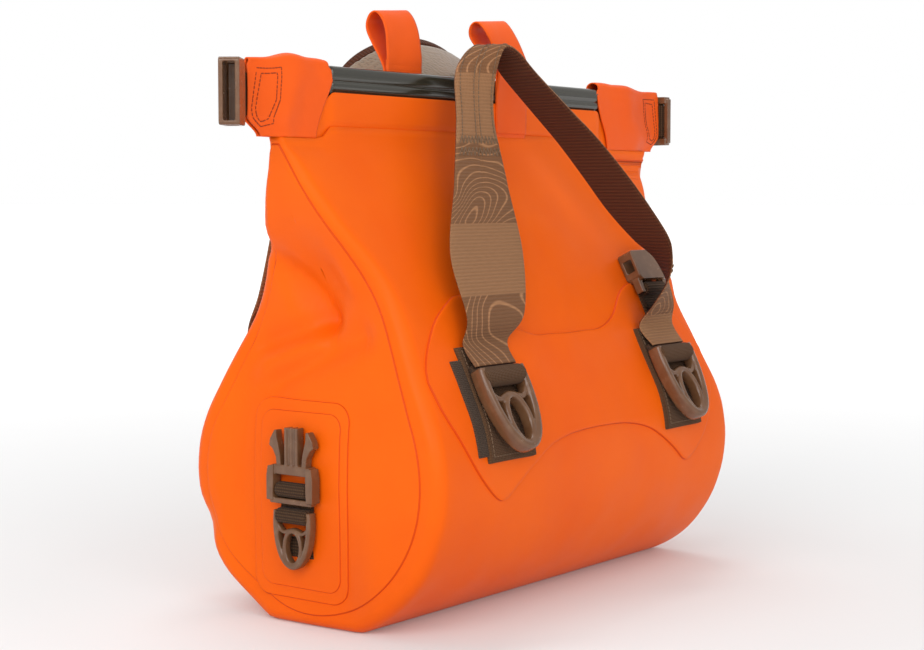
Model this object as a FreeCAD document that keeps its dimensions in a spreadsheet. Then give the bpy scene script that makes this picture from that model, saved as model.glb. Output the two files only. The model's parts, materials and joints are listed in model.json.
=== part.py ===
import FreeCAD, Part
import Sketcher
import math
import os
import re
from FreeCAD import Vector

# Waterproof strap bag: a teardrop bag of coated fabric with a press-seal closure along its top,
# a webbing handle in front, a padded shoulder strap behind, six D-rings and side-release buckles.
# Millimetres. The front is -Y, +X runs along the closure, +Z is up, and the origin is the middle
# of the flat strip that the bag stands on.

DIMENSIONS = [
    ("BottomRadius", 98.0, "radius of the round lower part of the bag"),
    ("AxisHeight", 91.5, "height of that round part's centre over the floor"),
    ("PanelTop", 296.0, "top of the body panels, where the closure begins to fold"),
    ("TopHalfDepth", 6.0, "half thickness of the bag at the top of its panels"),
    ("WallThickness", 2.0, "coated fabric, with its weld allowance"),
    ("EndSeamScale", 0.8, "end panel's weld line, as a part of the end's outline"),
    ("EndSeamTop", 272.0, "top of the end panel's weld line"),
    ("BottomHalfLength", 171.0, "half length of the round lower part"),
    ("PatchThickness", 1.5, "welded reinforcing patch"),
    ("AnchorThickness", 2.5, "sewn webbing anchor on the patch"),
    ("AnchorHalfWidth", 22.5, "half width of a sewn webbing anchor"),
    ("AnchorLow", 104.0, "bottom of a sewn front anchor"),
    ("AnchorHigh", 170.0, "top of a sewn front anchor"),
    ("RearDrop", 18.0, "the rear patch, anchors and rings sit this much lower than the front ones"),
    ("ClosureTop", 341.5, "top of the seal rails"),
    ("RailLow", 322.5, "bottom of the seal rails"),
    ("RailDepth", 4.6, "thickness of one seal rail"),
    ("RailLeft", 159.0, "left end of the seal rails"),
    ("RailRight", 135.0, "right end of the seal rails, which the longer right tab covers"),
    ("SealGap", 0.6, "gap between the two rails"),
    ("HeaderThickness", 1.5, "doubled fabric band that carries a rail"),
    ("FoldGap", 0.8, "clearance between the closure and the body panels"),
    ("TabGap", 1.5, "between a closure tab and the seal rails"),
    ("TabEnd", 228.0, "outer end of a closure tab"),
    ("TabHalfDepth", 7.0, "half thickness of a closure tab"),
    ("TabBottom", 297.5, "bottom edge of a closure tab"),
    ("TabChamfer", 11.0, "cut corner of a tab"),
    ("WebbingWidth", 25.0, "narrow webbing"),
    ("WebbingThickness", 1.5, "narrow webbing"),
    ("ClosureWebbingHeight", 321.5, "middle of the closure's buckle webbing"),
    ("ClosureWebbingOut", 2.0, "webbing between a tab and its buckle's roll"),
    ("ClosureWebbingIn", 30.0, "webbing inside a tab"),
    ("ClosureBuckleTurn", 35.0, "degrees that the left tab's buckle is turned to the front"),
    ("FrontRingX", 102.0, "front D-rings from the middle"),
    ("RearRingX", 118.0, "rear D-rings from the middle"),
    ("RingBarHeight", 154.0, "height of the front D-rings' bars"),
    ("RearRingLean", 18.0, "degrees that the rear D-rings lean out at their lower end"),
    ("RingHalfWidth", 28.0, "large D-ring"),
    ("RingThickness", 10.0, "large D-ring, front to back"),
    ("RingBarRadius", 3.0, "bar of a large D-ring"),
    ("RingRollRadius", 6.5, "webbing roll round a large D-ring's bar"),
    ("RingRollHalfWidth", 20.5, "that roll"),
    ("RingEyeRadius", 14.5, "round eye of a large D-ring"),
    ("RingEyeDrop", 28.0, "eye centre under the bar"),
    ("RingOuterRadius", 22.5, "rim round the eye"),
    ("RingWebTop", 8.0, "ring body's upper edge under the bar"),
    ("EndRingBarHeight", 68.0, "height of the end D-rings' bars"),
    ("EndRingHalfWidth", 19.0, "end D-ring"),
    ("EndRingThickness", 7.0, "end D-ring, front to back"),
    ("EndRingBarRadius", 2.2, "bar of an end D-ring"),
    ("EndRollRadius", 4.8, "webbing roll round an end ring's or a buckle's bar"),
    ("EndRingEyeRadius", 8.0, "round eye of an end D-ring"),
    ("EndRingEyeDrop", 19.5, "eye centre under the bar"),
    ("EndRingOuterRadius", 13.5, "rim round the eye"),
    ("EndRingWebTop", 5.6, "ring body's upper edge under the bar"),
    ("RunningGap", 0.1, "radial clearance of a webbing roll on its bar"),
    ("EndPatchShift", 9.0, "end patches sit this far behind the bag's middle"),
    ("EndPatchHalfWidth", 38.0, "end patch"),
    ("EndPatchLow", 16.0, "bottom of an end patch"),
    ("EndPatchHigh", 138.0, "top of an end patch"),
    ("EndPatchCorner", 10.0, "corner radius of an end patch"),
    ("BuckleHalfWidth", 19.0, "side-release buckle"),
    ("BuckleCheek", 14.0, "inner face of a buckle's cheeks"),
    ("BuckleBarRadius", 2.2, "webbing bar of a buckle"),
    ("MaleThickness", 6.0, "frame of the male half"),
    ("MaleBarHeight", 84.0, "height of the end male buckle's bar"),
    ("MaleFrame", 14.0, "bar to the shoulder of the male half"),
    ("ProngLength", 23.0, "shoulder to the tip of the prongs"),
    ("FemaleThickness", 12.0, "female half"),
    ("FemaleShoulder", 5.6, "bar to the back of the female half's housing"),
    ("FemaleLength", 22.0, "housing of the female half"),
    ("FemaleWall", 2.6, "wall of the housing"),
    ("FrontFemaleX", 117.0, "front buckle from the middle"),
    ("FrontFemaleBarHeight", 198.0, "height of the front buckle's bar"),
    ("FrontFemaleWebLow", 177.0, "lower end of the front buckle's webbing"),
    ("PullLoopWidth", 37.0, "orange pull loop"),
    ("PullLoopTop", 384.0, "top of the pull loops"),
    ("LoopFabric", 1.4, "doubled fabric of a pull loop"),
    ("LoopRadius", 8.5, "turn at the top of a pull loop"),
    ("LoopNeck", 3.0, "closed part of a loop above the seal"),
    ("RearLoopFoot", 12.0, "foot of the rear loop, down from the top of the seal"),
    ("FrontLoopFoot", 36.0, "foot of the front loop, which runs down over its rail"),
    ("RearLoopX", -83.0, "middle of the rear pull loop"),
    ("FrontLoopX", 24.0, "middle of the front pull loop"),
    ("StrapThickness", 2.4, "wide webbing"),
    ("PadThickness", 9.0, "shoulder pad"),
    ("PadBinding", 2.5, "folded edge of the shoulder pad"),
]

doc = FreeCAD.newDocument("StrapBag")
sheet = doc.addObject("Spreadsheet::Sheet", "Dims")
for row, (alias, value, note) in enumerate(DIMENSIONS, start=1):
    sheet.set("A%d" % row, alias)
    sheet.set("B%d" % row, str(value))
    sheet.set("C%d" % row, note)
    sheet.setAlias("B%d" % row, alias)
doc.recompute()

subparts = []


def dim(alias):
    """A driving dimension, read from the sheet."""
    return float(sheet.get(alias))


def bind(text):
    """An expression in sheet aliases, written for setExpression."""
    return re.sub(r"[A-Z][A-Za-z]+", r"Dims.\g<0>", text)


def keep(obj, label):
    """Name an object and put it on the list of sub-parts to export."""
    obj.Label = label
    subparts.append(obj)
    return obj


def feature(label, shape):
    """A sub-part whose shape is worked out by Part's own functions."""
    obj = doc.addObject("Part::Feature", label)
    obj.Shape = shape
    return keep(obj, label)


def helper_box(name, size, corner):
    """A box with bound sizes and a bound lowest corner."""
    obj = doc.addObject("Part::Box", name)
    for prop, text in zip(("Length", "Width", "Height"), size):
        obj.setExpression(prop, bind(text))
    for axis, text in zip("xyz", corner):
        obj.setExpression("Placement.Base." + axis, bind(text))
    return obj


def box(label, size, corner):
    return keep(helper_box(label, size, corner), label)


# ---------------------------------------------------------------- the bag's outline

def slope_angle():
    """Angle from the vertical of the flat front and back, tangent to the round bottom."""
    rise = dim("PanelTop") - dim("AxisHeight")
    reach = math.hypot(dim("TopHalfDepth"), rise)
    bearing = math.atan2(rise, dim("TopHalfDepth"))
    return bearing - math.acos(dim("BottomRadius") / reach)


SLOPE = slope_angle()
LEAN = Vector(0, math.sin(SLOPE), math.cos(SLOPE))      # up the front's slope


def half_depth(z, offset=0.0):
    """Half the bag's depth at height z, for a surface that stands off the bag by offset."""
    radius = dim("BottomRadius") + offset
    tangent_z = dim("AxisHeight") + radius * math.sin(SLOPE)
    if z <= tangent_z:
        return math.sqrt(max(radius ** 2 - (z - dim("AxisHeight")) ** 2, 1.0))
    return radius * math.cos(SLOPE) - (z - tangent_z) * math.tan(SLOPE)


# height and half length: the ends are rounded below, drawn in above, and flare to the tabs
END_LINE = [(0, -7), (6, -3), (18, -1), (45, 0), (110, 0), (150, -4), (190, -9), (225, -9),
            (245, -3), (262, 8), (276, 19), (296, 31)]


def end_reach(z):
    """Half the bag's length at height z."""
    for (z0, out0), (z1, out1) in zip(END_LINE, END_LINE[1:]):
        if z0 <= z <= z1:
            return dim("BottomHalfLength") + out0 + (out1 - out0) * (z - z0) / (z1 - z0)
    return dim("BottomHalfLength") + END_LINE[-1][1]


def rounded_rectangle(half_x, half_y, corner, z):
    """A horizontal rectangle with round corners, centred on the Z axis."""
    edges = []
    for k, (sx, sy) in enumerate(((1, 1), (-1, 1), (-1, -1), (1, -1))):
        centre = Vector(sx * (half_x - corner), sy * (half_y - corner), z)
        start = math.pi / 2 * k
        points = [centre + Vector(math.cos(a), math.sin(a), 0) * corner
                  for a in (start, start + math.pi / 4, start + math.pi / 2)]
        if edges:
            edges.append(Part.LineSegment(last, points[0]).toShape())
        else:
            first = points[0]
        edges.append(Part.Arc(*points).toShape())
        last = points[2]
    edges.append(Part.LineSegment(last, first).toShape())
    return Part.Wire(edges)


def bag_solid(inset, floor, top):
    """The bag as a solid block, drawn in by inset on every side."""
    heights = [floor]
    heights += [z for z in (6, 14, 26, 45, 68, 91.5, 112, 132, 155, 190, 225, 245, 262, 276, 290)
                if floor + 2 < z < top - 2]
    heights.append(top)
    wires = []
    for z in heights:
        half_x = end_reach(z) - inset
        half_y = half_depth(z, -inset)
        corner = min(16.0, 0.7 * half_y)
        wires.append(rounded_rectangle(half_x, half_y, corner, z))
    return Part.makeLoft(wires, True, True)


def end_prism(side):
    """The space inside the end panel's weld line, from the bag's end inwards."""
    scale = dim("EndSeamScale")
    radius = scale * dim("BottomRadius")
    axis_z = dim("AxisHeight")
    foot = Vector(0, 0, axis_z - radius)
    low_front = Vector(0, -radius * math.cos(SLOPE), axis_z + radius * math.sin(SLOPE))
    low_rear = Vector(0, -low_front.y, low_front.z)
    high = dim("EndSeamTop")
    high_front = Vector(0, -scale * half_depth(high), high)
    high_rear = Vector(0, -high_front.y, high)
    wire = Part.Wire([
        Part.Arc(low_front, foot, low_rear).toShape(),
        Part.LineSegment(low_rear, high_rear).toShape(),
        Part.LineSegment(high_rear, high_front).toShape(),
        Part.LineSegment(high_front, low_front).toShape()])
    prism = Part.Face(wire).extrude(Vector(120, 0, 0))
    prism.translate(Vector(130 if side > 0 else -250, 0, 0))
    return prism


wall = dim("WallThickness")
shell = bag_solid(0.0, 0.0, dim("PanelTop")).cut(bag_solid(wall, wall, dim("PanelTop")))
left_prism = end_prism(-1)
right_prism = end_prism(1)
feature("main_panel", shell.cut(left_prism).cut(right_prism))
feature("end_panel_left", shell.common(left_prism))
feature("end_panel_right", shell.common(right_prism))


# ---------------------------------------------------------------- patches and anchors

def skin_band(inner, outer, low, high, x_from, x_to, side):
    """A band that follows the bag's front (side -1) or back (side 1), between two offsets."""
    def run(offset, z_from, z_to):
        radius = dim("BottomRadius") + offset
        tangent_z = dim("AxisHeight") + radius * math.sin(SLOPE)
        edges = []
        at = z_from
        if at < tangent_z:
            end = min(z_to, tangent_z)
            heights = (at, (at + end) / 2, end)
            edges.append(Part.Arc(*[Vector(x_from, side * half_depth(z, offset), z)
                                    for z in heights]).toShape())
            at = end
        if at < z_to:
            start = Vector(x_from, side * half_depth(at, offset), at)
            end = Vector(x_from, side * half_depth(z_to, offset), z_to)
            edges.append(Part.LineSegment(start, end).toShape())
        return edges
    ends = [Part.LineSegment(Vector(x_from, side * half_depth(z, inner), z),
                             Vector(x_from, side * half_depth(z, outer), z)).toShape()
            for z in (low, high)]
    edges = Part.sortEdges(run(inner, low, high) + run(outer, low, high) + ends)[0]
    return Part.Face(Part.Wire(edges)).extrude(Vector(x_to - x_from, 0, 0))


# half outline of the anchor patch: x and z, from the middle of its top edge round to the bottom
PATCH_HALF = [(0, 173), (38, 174), (60, 181), (80, 196), (99, 201), (126, 190), (148, 172),
              (158, 152), (152, 130), (138, 105), (123, 86), (109, 80), (94, 88), (70, 104),
              (38, 112), (0, 114)]


PATCH_REACH = 170       # a little more than the patch's half length


def anchor_patch(label, side, drop):
    """Welded patch under the two large rings, wide at the rings and narrow in the middle."""
    outline = PATCH_HALF + [(-x, z) for x, z in reversed(PATCH_HALF[1:-1])]
    curve = Part.BSplineCurve()
    curve.interpolate([Vector(x, -PATCH_REACH, z - drop) for x, z in outline], PeriodicFlag=True)
    prism = Part.Face(Part.Wire([curve.toShape()])).extrude(Vector(0, 2 * PATCH_REACH, 0))
    band = skin_band(0.0, dim("PatchThickness"), 50, 230, -PATCH_REACH, PATCH_REACH, side)
    feature(label, band.common(prism))


anchor_patch("front_patch", -1, 0.0)
anchor_patch("rear_patch", 1, dim("RearDrop"))


def strap_anchor(label, x, side, drop):
    """Doubled end of a strap, sewn flat on the patch behind a ring."""
    inner = dim("PatchThickness")
    outer = inner + dim("AnchorThickness")
    half = dim("AnchorHalfWidth")
    low, high = dim("AnchorLow") - drop, dim("AnchorHigh") - drop
    feature(label, skin_band(inner, outer, low, high, x - half, x + half, side))


def bar_offset():
    """How far a large ring's bar stands off the bag."""
    return dim("PatchThickness") + dim("AnchorThickness") + dim("RingRollRadius")


# the four large rings: front or rear, left or right, place along the bag, side and drop
RINGS = [("front", "left", -dim("FrontRingX"), -1, 0.0), ("front", "right", dim("FrontRingX"), -1, 0.0),
         ("rear", "left", -dim("RearRingX"), 1, dim("RearDrop")),
         ("rear", "right", dim("RearRingX"), 1, dim("RearDrop"))]


def ring_bar(x, side, drop):
    """The middle of a large ring's bar."""
    height = dim("RingBarHeight") - drop
    return Vector(x, side * half_depth(height, bar_offset()), height)


for face, word, ring_x, side, drop in RINGS:
    strap_anchor("%s_anchor_%s" % (face, word), ring_x, side, drop)

TAG_WIDTH = 8.7
TAG_GAP = 0.3           # between the tag and the anchor that it is sewn beside
TAG_THICKNESS = 1.2
tag_edge = -dim("FrontRingX") - dim("AnchorHalfWidth") - TAG_GAP
feature("side_tag", skin_band(dim("PatchThickness"), dim("PatchThickness") + TAG_THICKNESS, 108, 163,
                              tag_edge - TAG_WIDTH, tag_edge, -1))


def webbing_roll(label, centre, along, bar_radius, outer, half_width):
    """A sewn roll of webbing round a bar, with running clearance."""
    start = centre - along * half_width
    roll = Part.makeCylinder(outer, 2 * half_width, start, along)
    hole = Part.makeCylinder(bar_radius + dim("RunningGap"), 2 * half_width + 2, start - along, along)
    return feature(label, roll.cut(hole))


for face, word, ring_x, side, drop in RINGS:
    webbing_roll("%s_roll_%s" % (face, word), ring_bar(ring_x, side, drop), Vector(1, 0, 0),
                 dim("RingBarRadius"), dim("RingRollRadius"), dim("RingRollHalfWidth"))


# ---------------------------------------------------------------- D-rings

def body_plane(body, role):
    return [f for f in body.Origin.OriginFeatures if f.Role == role][0]


def sketch_on(body, name, role):
    sketch = body.newObject("Sketcher::SketchObject", name)
    sketch.AttachmentSupport = [(body_plane(body, role), "")]
    sketch.MapMode = "FlatFace"
    return sketch


def add_outline(sketch, segments):
    """Closed outline from lines, given by two points, and arcs, given by three."""
    for points in segments:
        places = [Vector(x, y, 0) for x, y in points]
        geometry = Part.LineSegment(*places) if len(places) == 2 else Part.Arc(*places)
        index = sketch.addGeometry(geometry, False)
        sketch.addConstraint(Sketcher.Constraint("Block", index))


def polygon(points):
    return [(points[k], points[(k + 1) % len(points)]) for k in range(len(points))]


def bound_circle(sketch, x, y, alias):
    """A circle whose radius is bound to the sheet."""
    index = sketch.addGeometry(Part.Circle(Vector(x, y, 0), Vector(0, 0, 1), dim(alias)), False)
    sketch.addConstraint(Sketcher.Constraint("Radius", index, dim(alias)))
    place = sketch.ConstraintCount - 1
    sketch.renameConstraint(place, "EyeRadius")
    sketch.setExpression("Constraints.EyeRadius", bind(alias))


def pad(body, name, sketch, length):
    """A pad of a bound length, the same on both sides of its sketch."""
    out = body.newObject("PartDesign::Pad", name)
    out.Profile = sketch
    out.Midplane = True
    out.setExpression("Length", bind(length))
    doc.recompute()
    return out


def pocket(body, name, sketch):
    """A cut right through, both ways."""
    before = body.Shape.Volume
    out = body.newObject("PartDesign::Pocket", name)
    out.Profile = sketch
    out.Type = 1
    out.Midplane = True
    doc.recompute()
    if not body.Shape.Volume < before - 1.0:
        raise RuntimeError("%s in %s cuts nothing" % (name, body.Label))
    return out


def ring_outline(prefix):
    """Shield outline: straight cheeks above, drawn in to a round rim below."""
    half = dim(prefix + "HalfWidth")
    rim = dim(prefix + "OuterRadius")
    drop = dim(prefix + "EyeDrop")
    shoulder = -dim(prefix + "WebTop") - 0.12 * drop
    crown = dim(prefix + "BarRadius") + 1.0
    reach = math.hypot(half, drop + shoulder)
    turn = math.atan2(drop + shoulder, half) - math.acos(rim / reach)
    touch = (rim * math.cos(turn), -drop + rim * math.sin(turn))
    return [((-half, shoulder), (-half, crown - 2.0)),
            ((-half, crown - 2.0), (-half + 0.6, crown - 0.6), (-half + 2.0, crown)),
            ((-half + 2.0, crown), (half - 2.0, crown)),
            ((half - 2.0, crown), (half - 0.6, crown - 0.6), (half, crown - 2.0)),
            ((half, crown - 2.0), (half, shoulder)),
            ((half, shoulder), touch),
            (touch, (0, -drop - rim), (-touch[0], touch[1])),
            ((-touch[0], touch[1]), (-half, shoulder))]


def d_ring(label, prefix, roll_half_width, side_slots):
    """Moulded D-ring: a webbing bar, a round eye under it and two slots beside the eye."""
    body = doc.addObject("PartDesign::Body", label)
    outline = sketch_on(body, "Outline", "XZ_Plane")
    add_outline(outline, ring_outline(prefix))
    pad(body, "Plate", outline, prefix + "Thickness")

    gap = roll_half_width + 0.8
    web = -dim(prefix + "WebTop")
    crown = dim(prefix + "BarRadius") + 3.0
    peak = 0.05 * dim(prefix + "EyeDrop")
    slot = sketch_on(body, "WebbingSlot", "XZ_Plane")
    add_outline(slot, [((-gap, crown), (-gap, web)),
                       ((-gap, web), (-gap / 2, web - peak), (0, web)),
                       ((0, web), (gap / 2, web - peak), (gap, web)),
                       ((gap, web), (gap, crown)),
                       ((gap, crown), (-gap, crown))])
    pocket(body, "SlotCut", slot)

    eye = sketch_on(body, "Eye", "XZ_Plane")
    bound_circle(eye, 0, -dim(prefix + "EyeDrop"), prefix + "EyeRadius")
    pocket(body, "EyeCut", eye)
    soften(body, 1.0, dim(prefix + "EyeRadius"))

    if side_slots:
        half = dim(prefix + "HalfWidth")
        drop = dim(prefix + "EyeDrop")
        for word, sign in (("Left", -1), ("Right", 1)):
            teardrop = sketch_on(body, word + "Slot", "XZ_Plane")
            inner = (sign * (half - 9.6), -0.44 * drop)
            outer = (sign * (half - 4.2), -0.44 * drop)
            cheek = (sign * (half - 3.4), -0.52 * drop)
            waist = (sign * (half - 4.0), -0.62 * drop)
            point = (sign * (half - 7.2), -0.86 * drop)
            add_outline(teardrop, [(inner, outer), (outer, cheek, waist), (waist, point), (point, inner)])
            pocket(body, word + "Cut", teardrop)

    bar = sketch_on(body, "BarSection", "YZ_Plane")
    bound_circle(bar, 0, 0, prefix + "BarRadius")
    pad(body, "Bar", bar, "%sHalfWidth * 2 - 4" % prefix)
    return keep(body, label)


def soften(body, size, radius=None):
    """Chamfer the edges of a flat moulding's two faces, or only a round hole's edges."""
    shape = body.Shape
    depth = shape.BoundBox.YMax
    names = []
    for k, edge in enumerate(shape.Edges, start=1):
        reach = edge.BoundBox
        flat = reach.YLength < 1e-4 and abs(abs(reach.YMax) - depth) < 1e-4
        wanted = radius is None or abs(getattr(edge.Curve, "Radius", 0.0) - radius) < 1e-4
        if flat and wanted:
            names.append("Edge%d" % k)
    base = body.Tip
    rounding = body.newObject("PartDesign::Chamfer", "Softened")
    rounding.Base = (base, names)
    rounding.Size = size
    doc.recompute()


def place(obj, base, rotation):
    obj.Placement = FreeCAD.Placement(base, rotation)


LEANS = {"front": math.degrees(SLOPE), "rear": dim("RearRingLean")}
for face, word, ring_x, side, drop in RINGS:
    ring = d_ring("%s_ring_%s" % (face, word), "Ring", dim("RingRollHalfWidth"), True)
    place(ring, ring_bar(ring_x, side, drop), FreeCAD.Rotation(Vector(1, 0, 0), side * LEANS[face]))


# ---------------------------------------------------------------- ends: patches, webbing, rings

END_X = dim("BottomHalfLength")
STRIP_X = END_X + dim("PatchThickness")
BAR_X = STRIP_X + dim("WebbingThickness") + dim("EndRollRadius")
HALF_WEB = dim("WebbingWidth") / 2
shift = dim("EndPatchShift")

for word, side in (("left", -1), ("right", 1)):
    label = "end_patch_" + word
    corner = "-BottomHalfLength - PatchThickness" if side < 0 else "BottomHalfLength"
    plate = helper_box(label + "_plate", ("PatchThickness", "2 * EndPatchHalfWidth",
                                          "EndPatchHigh - EndPatchLow"),
                       (corner, "EndPatchShift - EndPatchHalfWidth", "EndPatchLow"))
    doc.recompute()
    upright = [k for k, e in enumerate(plate.Shape.Edges, start=1)
               if e.BoundBox.XLength > 0.5 * dim("PatchThickness")]
    rounded = doc.addObject("Part::Fillet", label)
    rounded.Base = plate
    rounded.Edges = [(k, dim("EndPatchCorner"), dim("EndPatchCorner")) for k in upright]
    keep(rounded, label)

    strip_from = "-BottomHalfLength - PatchThickness - WebbingThickness" if side < 0 \
        else "BottomHalfLength + PatchThickness"
    box("end_webbing_" + word, ("WebbingThickness", "WebbingWidth", "MaleBarHeight + 3 - 42"),
        (strip_from, "EndPatchShift - WebbingWidth / 2", "42"))

    roll_at = Vector(side * BAR_X, shift, dim("EndRingBarHeight"))
    webbing_roll("end_ring_roll_" + word, roll_at, Vector(0, 1, 0), dim("EndRingBarRadius"),
                 dim("EndRollRadius"), HALF_WEB)
    ring = d_ring("end_ring_" + word, "EndRing", HALF_WEB, False)
    place(ring, roll_at, FreeCAD.Rotation(Vector(0, 0, 1), 90))


# ---------------------------------------------------------------- side-release buckles

def male_frame(label):
    """Male half: webbing bar, two cheeks, shoulder and centre tongue. Prongs are their own pieces."""
    body = doc.addObject("PartDesign::Body", label)
    half = dim("BuckleHalfWidth")
    frame_top = dim("MaleFrame")
    outline = sketch_on(body, "Outline", "XZ_Plane")
    add_outline(outline, polygon([(-half, -3), (half, -3), (half, frame_top - 2), (half - 2, frame_top),
                                  (3.6, frame_top), (3.2, frame_top + 19), (1.6, frame_top + 21),
                                  (-1.6, frame_top + 21), (-3.2, frame_top + 19), (-3.6, frame_top),
                                  (2 - half, frame_top), (-half, frame_top - 2)]))
    pad(body, "Frame", outline, "MaleThickness")
    cheek = dim("BuckleCheek")
    window = sketch_on(body, "Window", "XZ_Plane")
    add_outline(window, polygon([(-cheek, -6), (cheek, -6), (cheek, 6.5), (cheek - 2, 8),
                                 (2 - cheek, 8), (-cheek, 6.5)]))
    pocket(body, "WindowCut", window)
    soften(body, 0.7)
    bar = sketch_on(body, "BarSection", "YZ_Plane")
    bound_circle(bar, 0, 0, "BuckleBarRadius")
    pad(body, "Bar", bar, "BuckleHalfWidth * 2 - 3")
    return keep(body, label)


def prong(label, sign):
    """Springy side prong of a male half, with the barb that catches in the female half."""
    body = doc.addObject("PartDesign::Body", label)
    root = dim("MaleFrame") + 0.3
    tip = dim("MaleFrame") + dim("ProngLength")
    outline = sketch_on(body, "Outline", "XZ_Plane")
    points = [(8.6, root), (12.6, root), (12.9, tip - 11), (15.2, tip - 10), (15.6, tip - 7),
              (13.6, tip - 1.5), (11.4, tip), (9.2, tip - 1.5), (8.8, tip - 8)]
    add_outline(outline, polygon([(sign * x, z) for x, z in points]))
    pad(body, "Prong", outline, "MaleThickness - 0.6")
    soften(body, 0.6)
    return keep(body, label)


def female_housing(label):
    """Female half: an open-mouthed housing with side windows, and a webbing bar behind it."""
    body = doc.addObject("PartDesign::Body", label)
    half = dim("BuckleHalfWidth")
    back = dim("FemaleShoulder")
    mouth = back + dim("FemaleLength")
    outline = sketch_on(body, "Outline", "XZ_Plane")
    add_outline(outline, polygon([(-half, back + 3), (3 - half, back), (half - 3, back), (half, back + 3),
                                  (half, mouth - 1.5), (half - 1.5, mouth), (1.5 - half, mouth),
                                  (-half, mouth - 1.5)]))
    pad(body, "Housing", outline, "FemaleThickness")

    wall_of = dim("FemaleWall")
    cavity_half_y = dim("FemaleThickness") / 2 - wall_of
    cavity = sketch_on(body, "Cavity", "YZ_Plane")
    add_outline(cavity, polygon([(-cavity_half_y, back + 4), (cavity_half_y, back + 4),
                                 (cavity_half_y, mouth + 2), (-cavity_half_y, mouth + 2)]))
    before = body.Shape.Volume
    hollow = body.newObject("PartDesign::Pocket", "CavityCut")
    hollow.Profile = cavity
    hollow.Midplane = True
    hollow.setExpression("Length", bind("BuckleHalfWidth * 2 - FemaleWall * 2"))
    doc.recompute()
    if not body.Shape.Volume < before - 1.0:
        raise RuntimeError("the cavity of %s cuts nothing" % label)

    sides = sketch_on(body, "SideWindows", "YZ_Plane")
    add_outline(sides, polygon([(-cavity_half_y, back + 7), (cavity_half_y, back + 7),
                                (cavity_half_y, mouth - 6), (-cavity_half_y, mouth - 6)]))
    pocket(body, "SideCut", sides)

    for word, sign in (("Left", -1), ("Right", 1)):
        cheek = sketch_on(body, word + "Cheek", "XZ_Plane")
        inner = sign * dim("BuckleCheek")
        outer = sign * (half - 1)
        add_outline(cheek, polygon([(inner, -3), (outer, -3), (outer, back + 1.5), (inner, back + 1.5)]))
        pad(body, word + "CheekPad", cheek, "MaleThickness")
    bar = sketch_on(body, "BarSection", "YZ_Plane")
    bound_circle(bar, 0, 0, "BuckleBarRadius")
    pad(body, "Bar", bar, "BuckleHalfWidth * 2 - 4")
    return keep(body, label)


def place_buckle(pieces, base, turn):
    for piece in pieces:
        place(piece, base, turn)


UP_ON_END = FreeCAD.Rotation(Vector(0, 0, 1), 90)

# the left end's male half stands up from its webbing
male_at = Vector(-BAR_X, shift, dim("MaleBarHeight"))
webbing_roll("end_buckle_roll_left", male_at, Vector(0, 1, 0), dim("BuckleBarRadius"),
             dim("EndRollRadius"), HALF_WEB)
place_buckle([male_frame("end_male_buckle"), prong("end_prong_front", 1), prong("end_prong_rear", -1)],
             male_at, FreeCAD.Rotation(Vector(0, 0, 1), -90))

# the right end's female half stands in the same place
female_at = Vector(BAR_X, shift, dim("MaleBarHeight"))
webbing_roll("end_buckle_roll_right", female_at, Vector(0, 1, 0), dim("BuckleBarRadius"),
             dim("EndRollRadius"), HALF_WEB)
place(female_housing("end_female_buckle"), female_at, UP_ON_END)

# the front's female half stands up the slope behind the right foot of the handle
front_x = dim("FrontFemaleX")
front_z = dim("FrontFemaleBarHeight")
strip_out = dim("PatchThickness") + dim("WebbingThickness")
front_at = Vector(front_x, -half_depth(front_z, strip_out + dim("EndRollRadius")), front_z)
feature("front_buckle_webbing", skin_band(dim("PatchThickness"), strip_out, dim("FrontFemaleWebLow"),
                                          front_z, front_x - HALF_WEB, front_x + HALF_WEB, -1))
webbing_roll("front_buckle_roll", front_at, Vector(1, 0, 0), dim("BuckleBarRadius"),
             dim("EndRollRadius"), HALF_WEB)
place(female_housing("front_female_buckle"), front_at,
      FreeCAD.Rotation(Vector(1, 0, 0), -math.degrees(SLOPE)))


# ---------------------------------------------------------------- closure

def header(label, side):
    """Doubled band of fabric from the body panels up to a seal rail."""
    outer = dim("RailDepth") + dim("SealGap") / 2 + dim("HeaderThickness")
    inner = outer - dim("HeaderThickness")
    y_low = min(side * inner, side * outer)
    low = dim("PanelTop") + dim("FoldGap")
    shape = Part.makeBox(dim("RailLeft") + dim("RailRight"), dim("HeaderThickness"), dim("RailLow") - low + 4.0,
                         Vector(-dim("RailLeft"), y_low, low))
    feature(label, shape)


def seal_rail(label, side):
    """Extruded rail: ribs outside, and a groove or a matching bead on the sealing face."""
    gap = dim("SealGap") / 2
    depth = dim("RailDepth")
    low = dim("RailLow") + 4.2
    high = dim("ClosureTop")
    lip = dim("HeaderThickness")
    middle = (low + high) / 2
    points = [(gap, dim("RailLow")), (gap + depth, dim("RailLow")), (gap + depth, low),
              (gap + depth + lip, low), (gap + depth + lip, low + 3), (gap + depth + lip - 0.8, low + 3.6),
              (gap + depth + lip, low + 4.2), (gap + depth + lip, high - 3),
              (gap + depth - 1.0, high), (gap + 0.8, high), (gap, high - 0.8)]
    if side > 0:
        half, bed, floor_half = 2.0, gap + 1.8, 1.4
    else:
        half, bed, floor_half = 1.4, -gap - 0.6, 0.9
    points += [(gap, middle + half), (bed, middle + floor_half), (bed, middle - floor_half), (gap, middle - half)]
    places = [Vector(-dim("RailLeft"), side * y, z) for y, z in points]
    wire = Part.makePolygon(places + places[:1])
    feature(label, Part.Face(wire).extrude(Vector(dim("RailLeft") + dim("RailRight"), 0, 0)))


header("header_front", -1)
header("header_rear", 1)
seal_rail("seal_rail_front", -1)
seal_rail("seal_rail_rear", 1)


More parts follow.
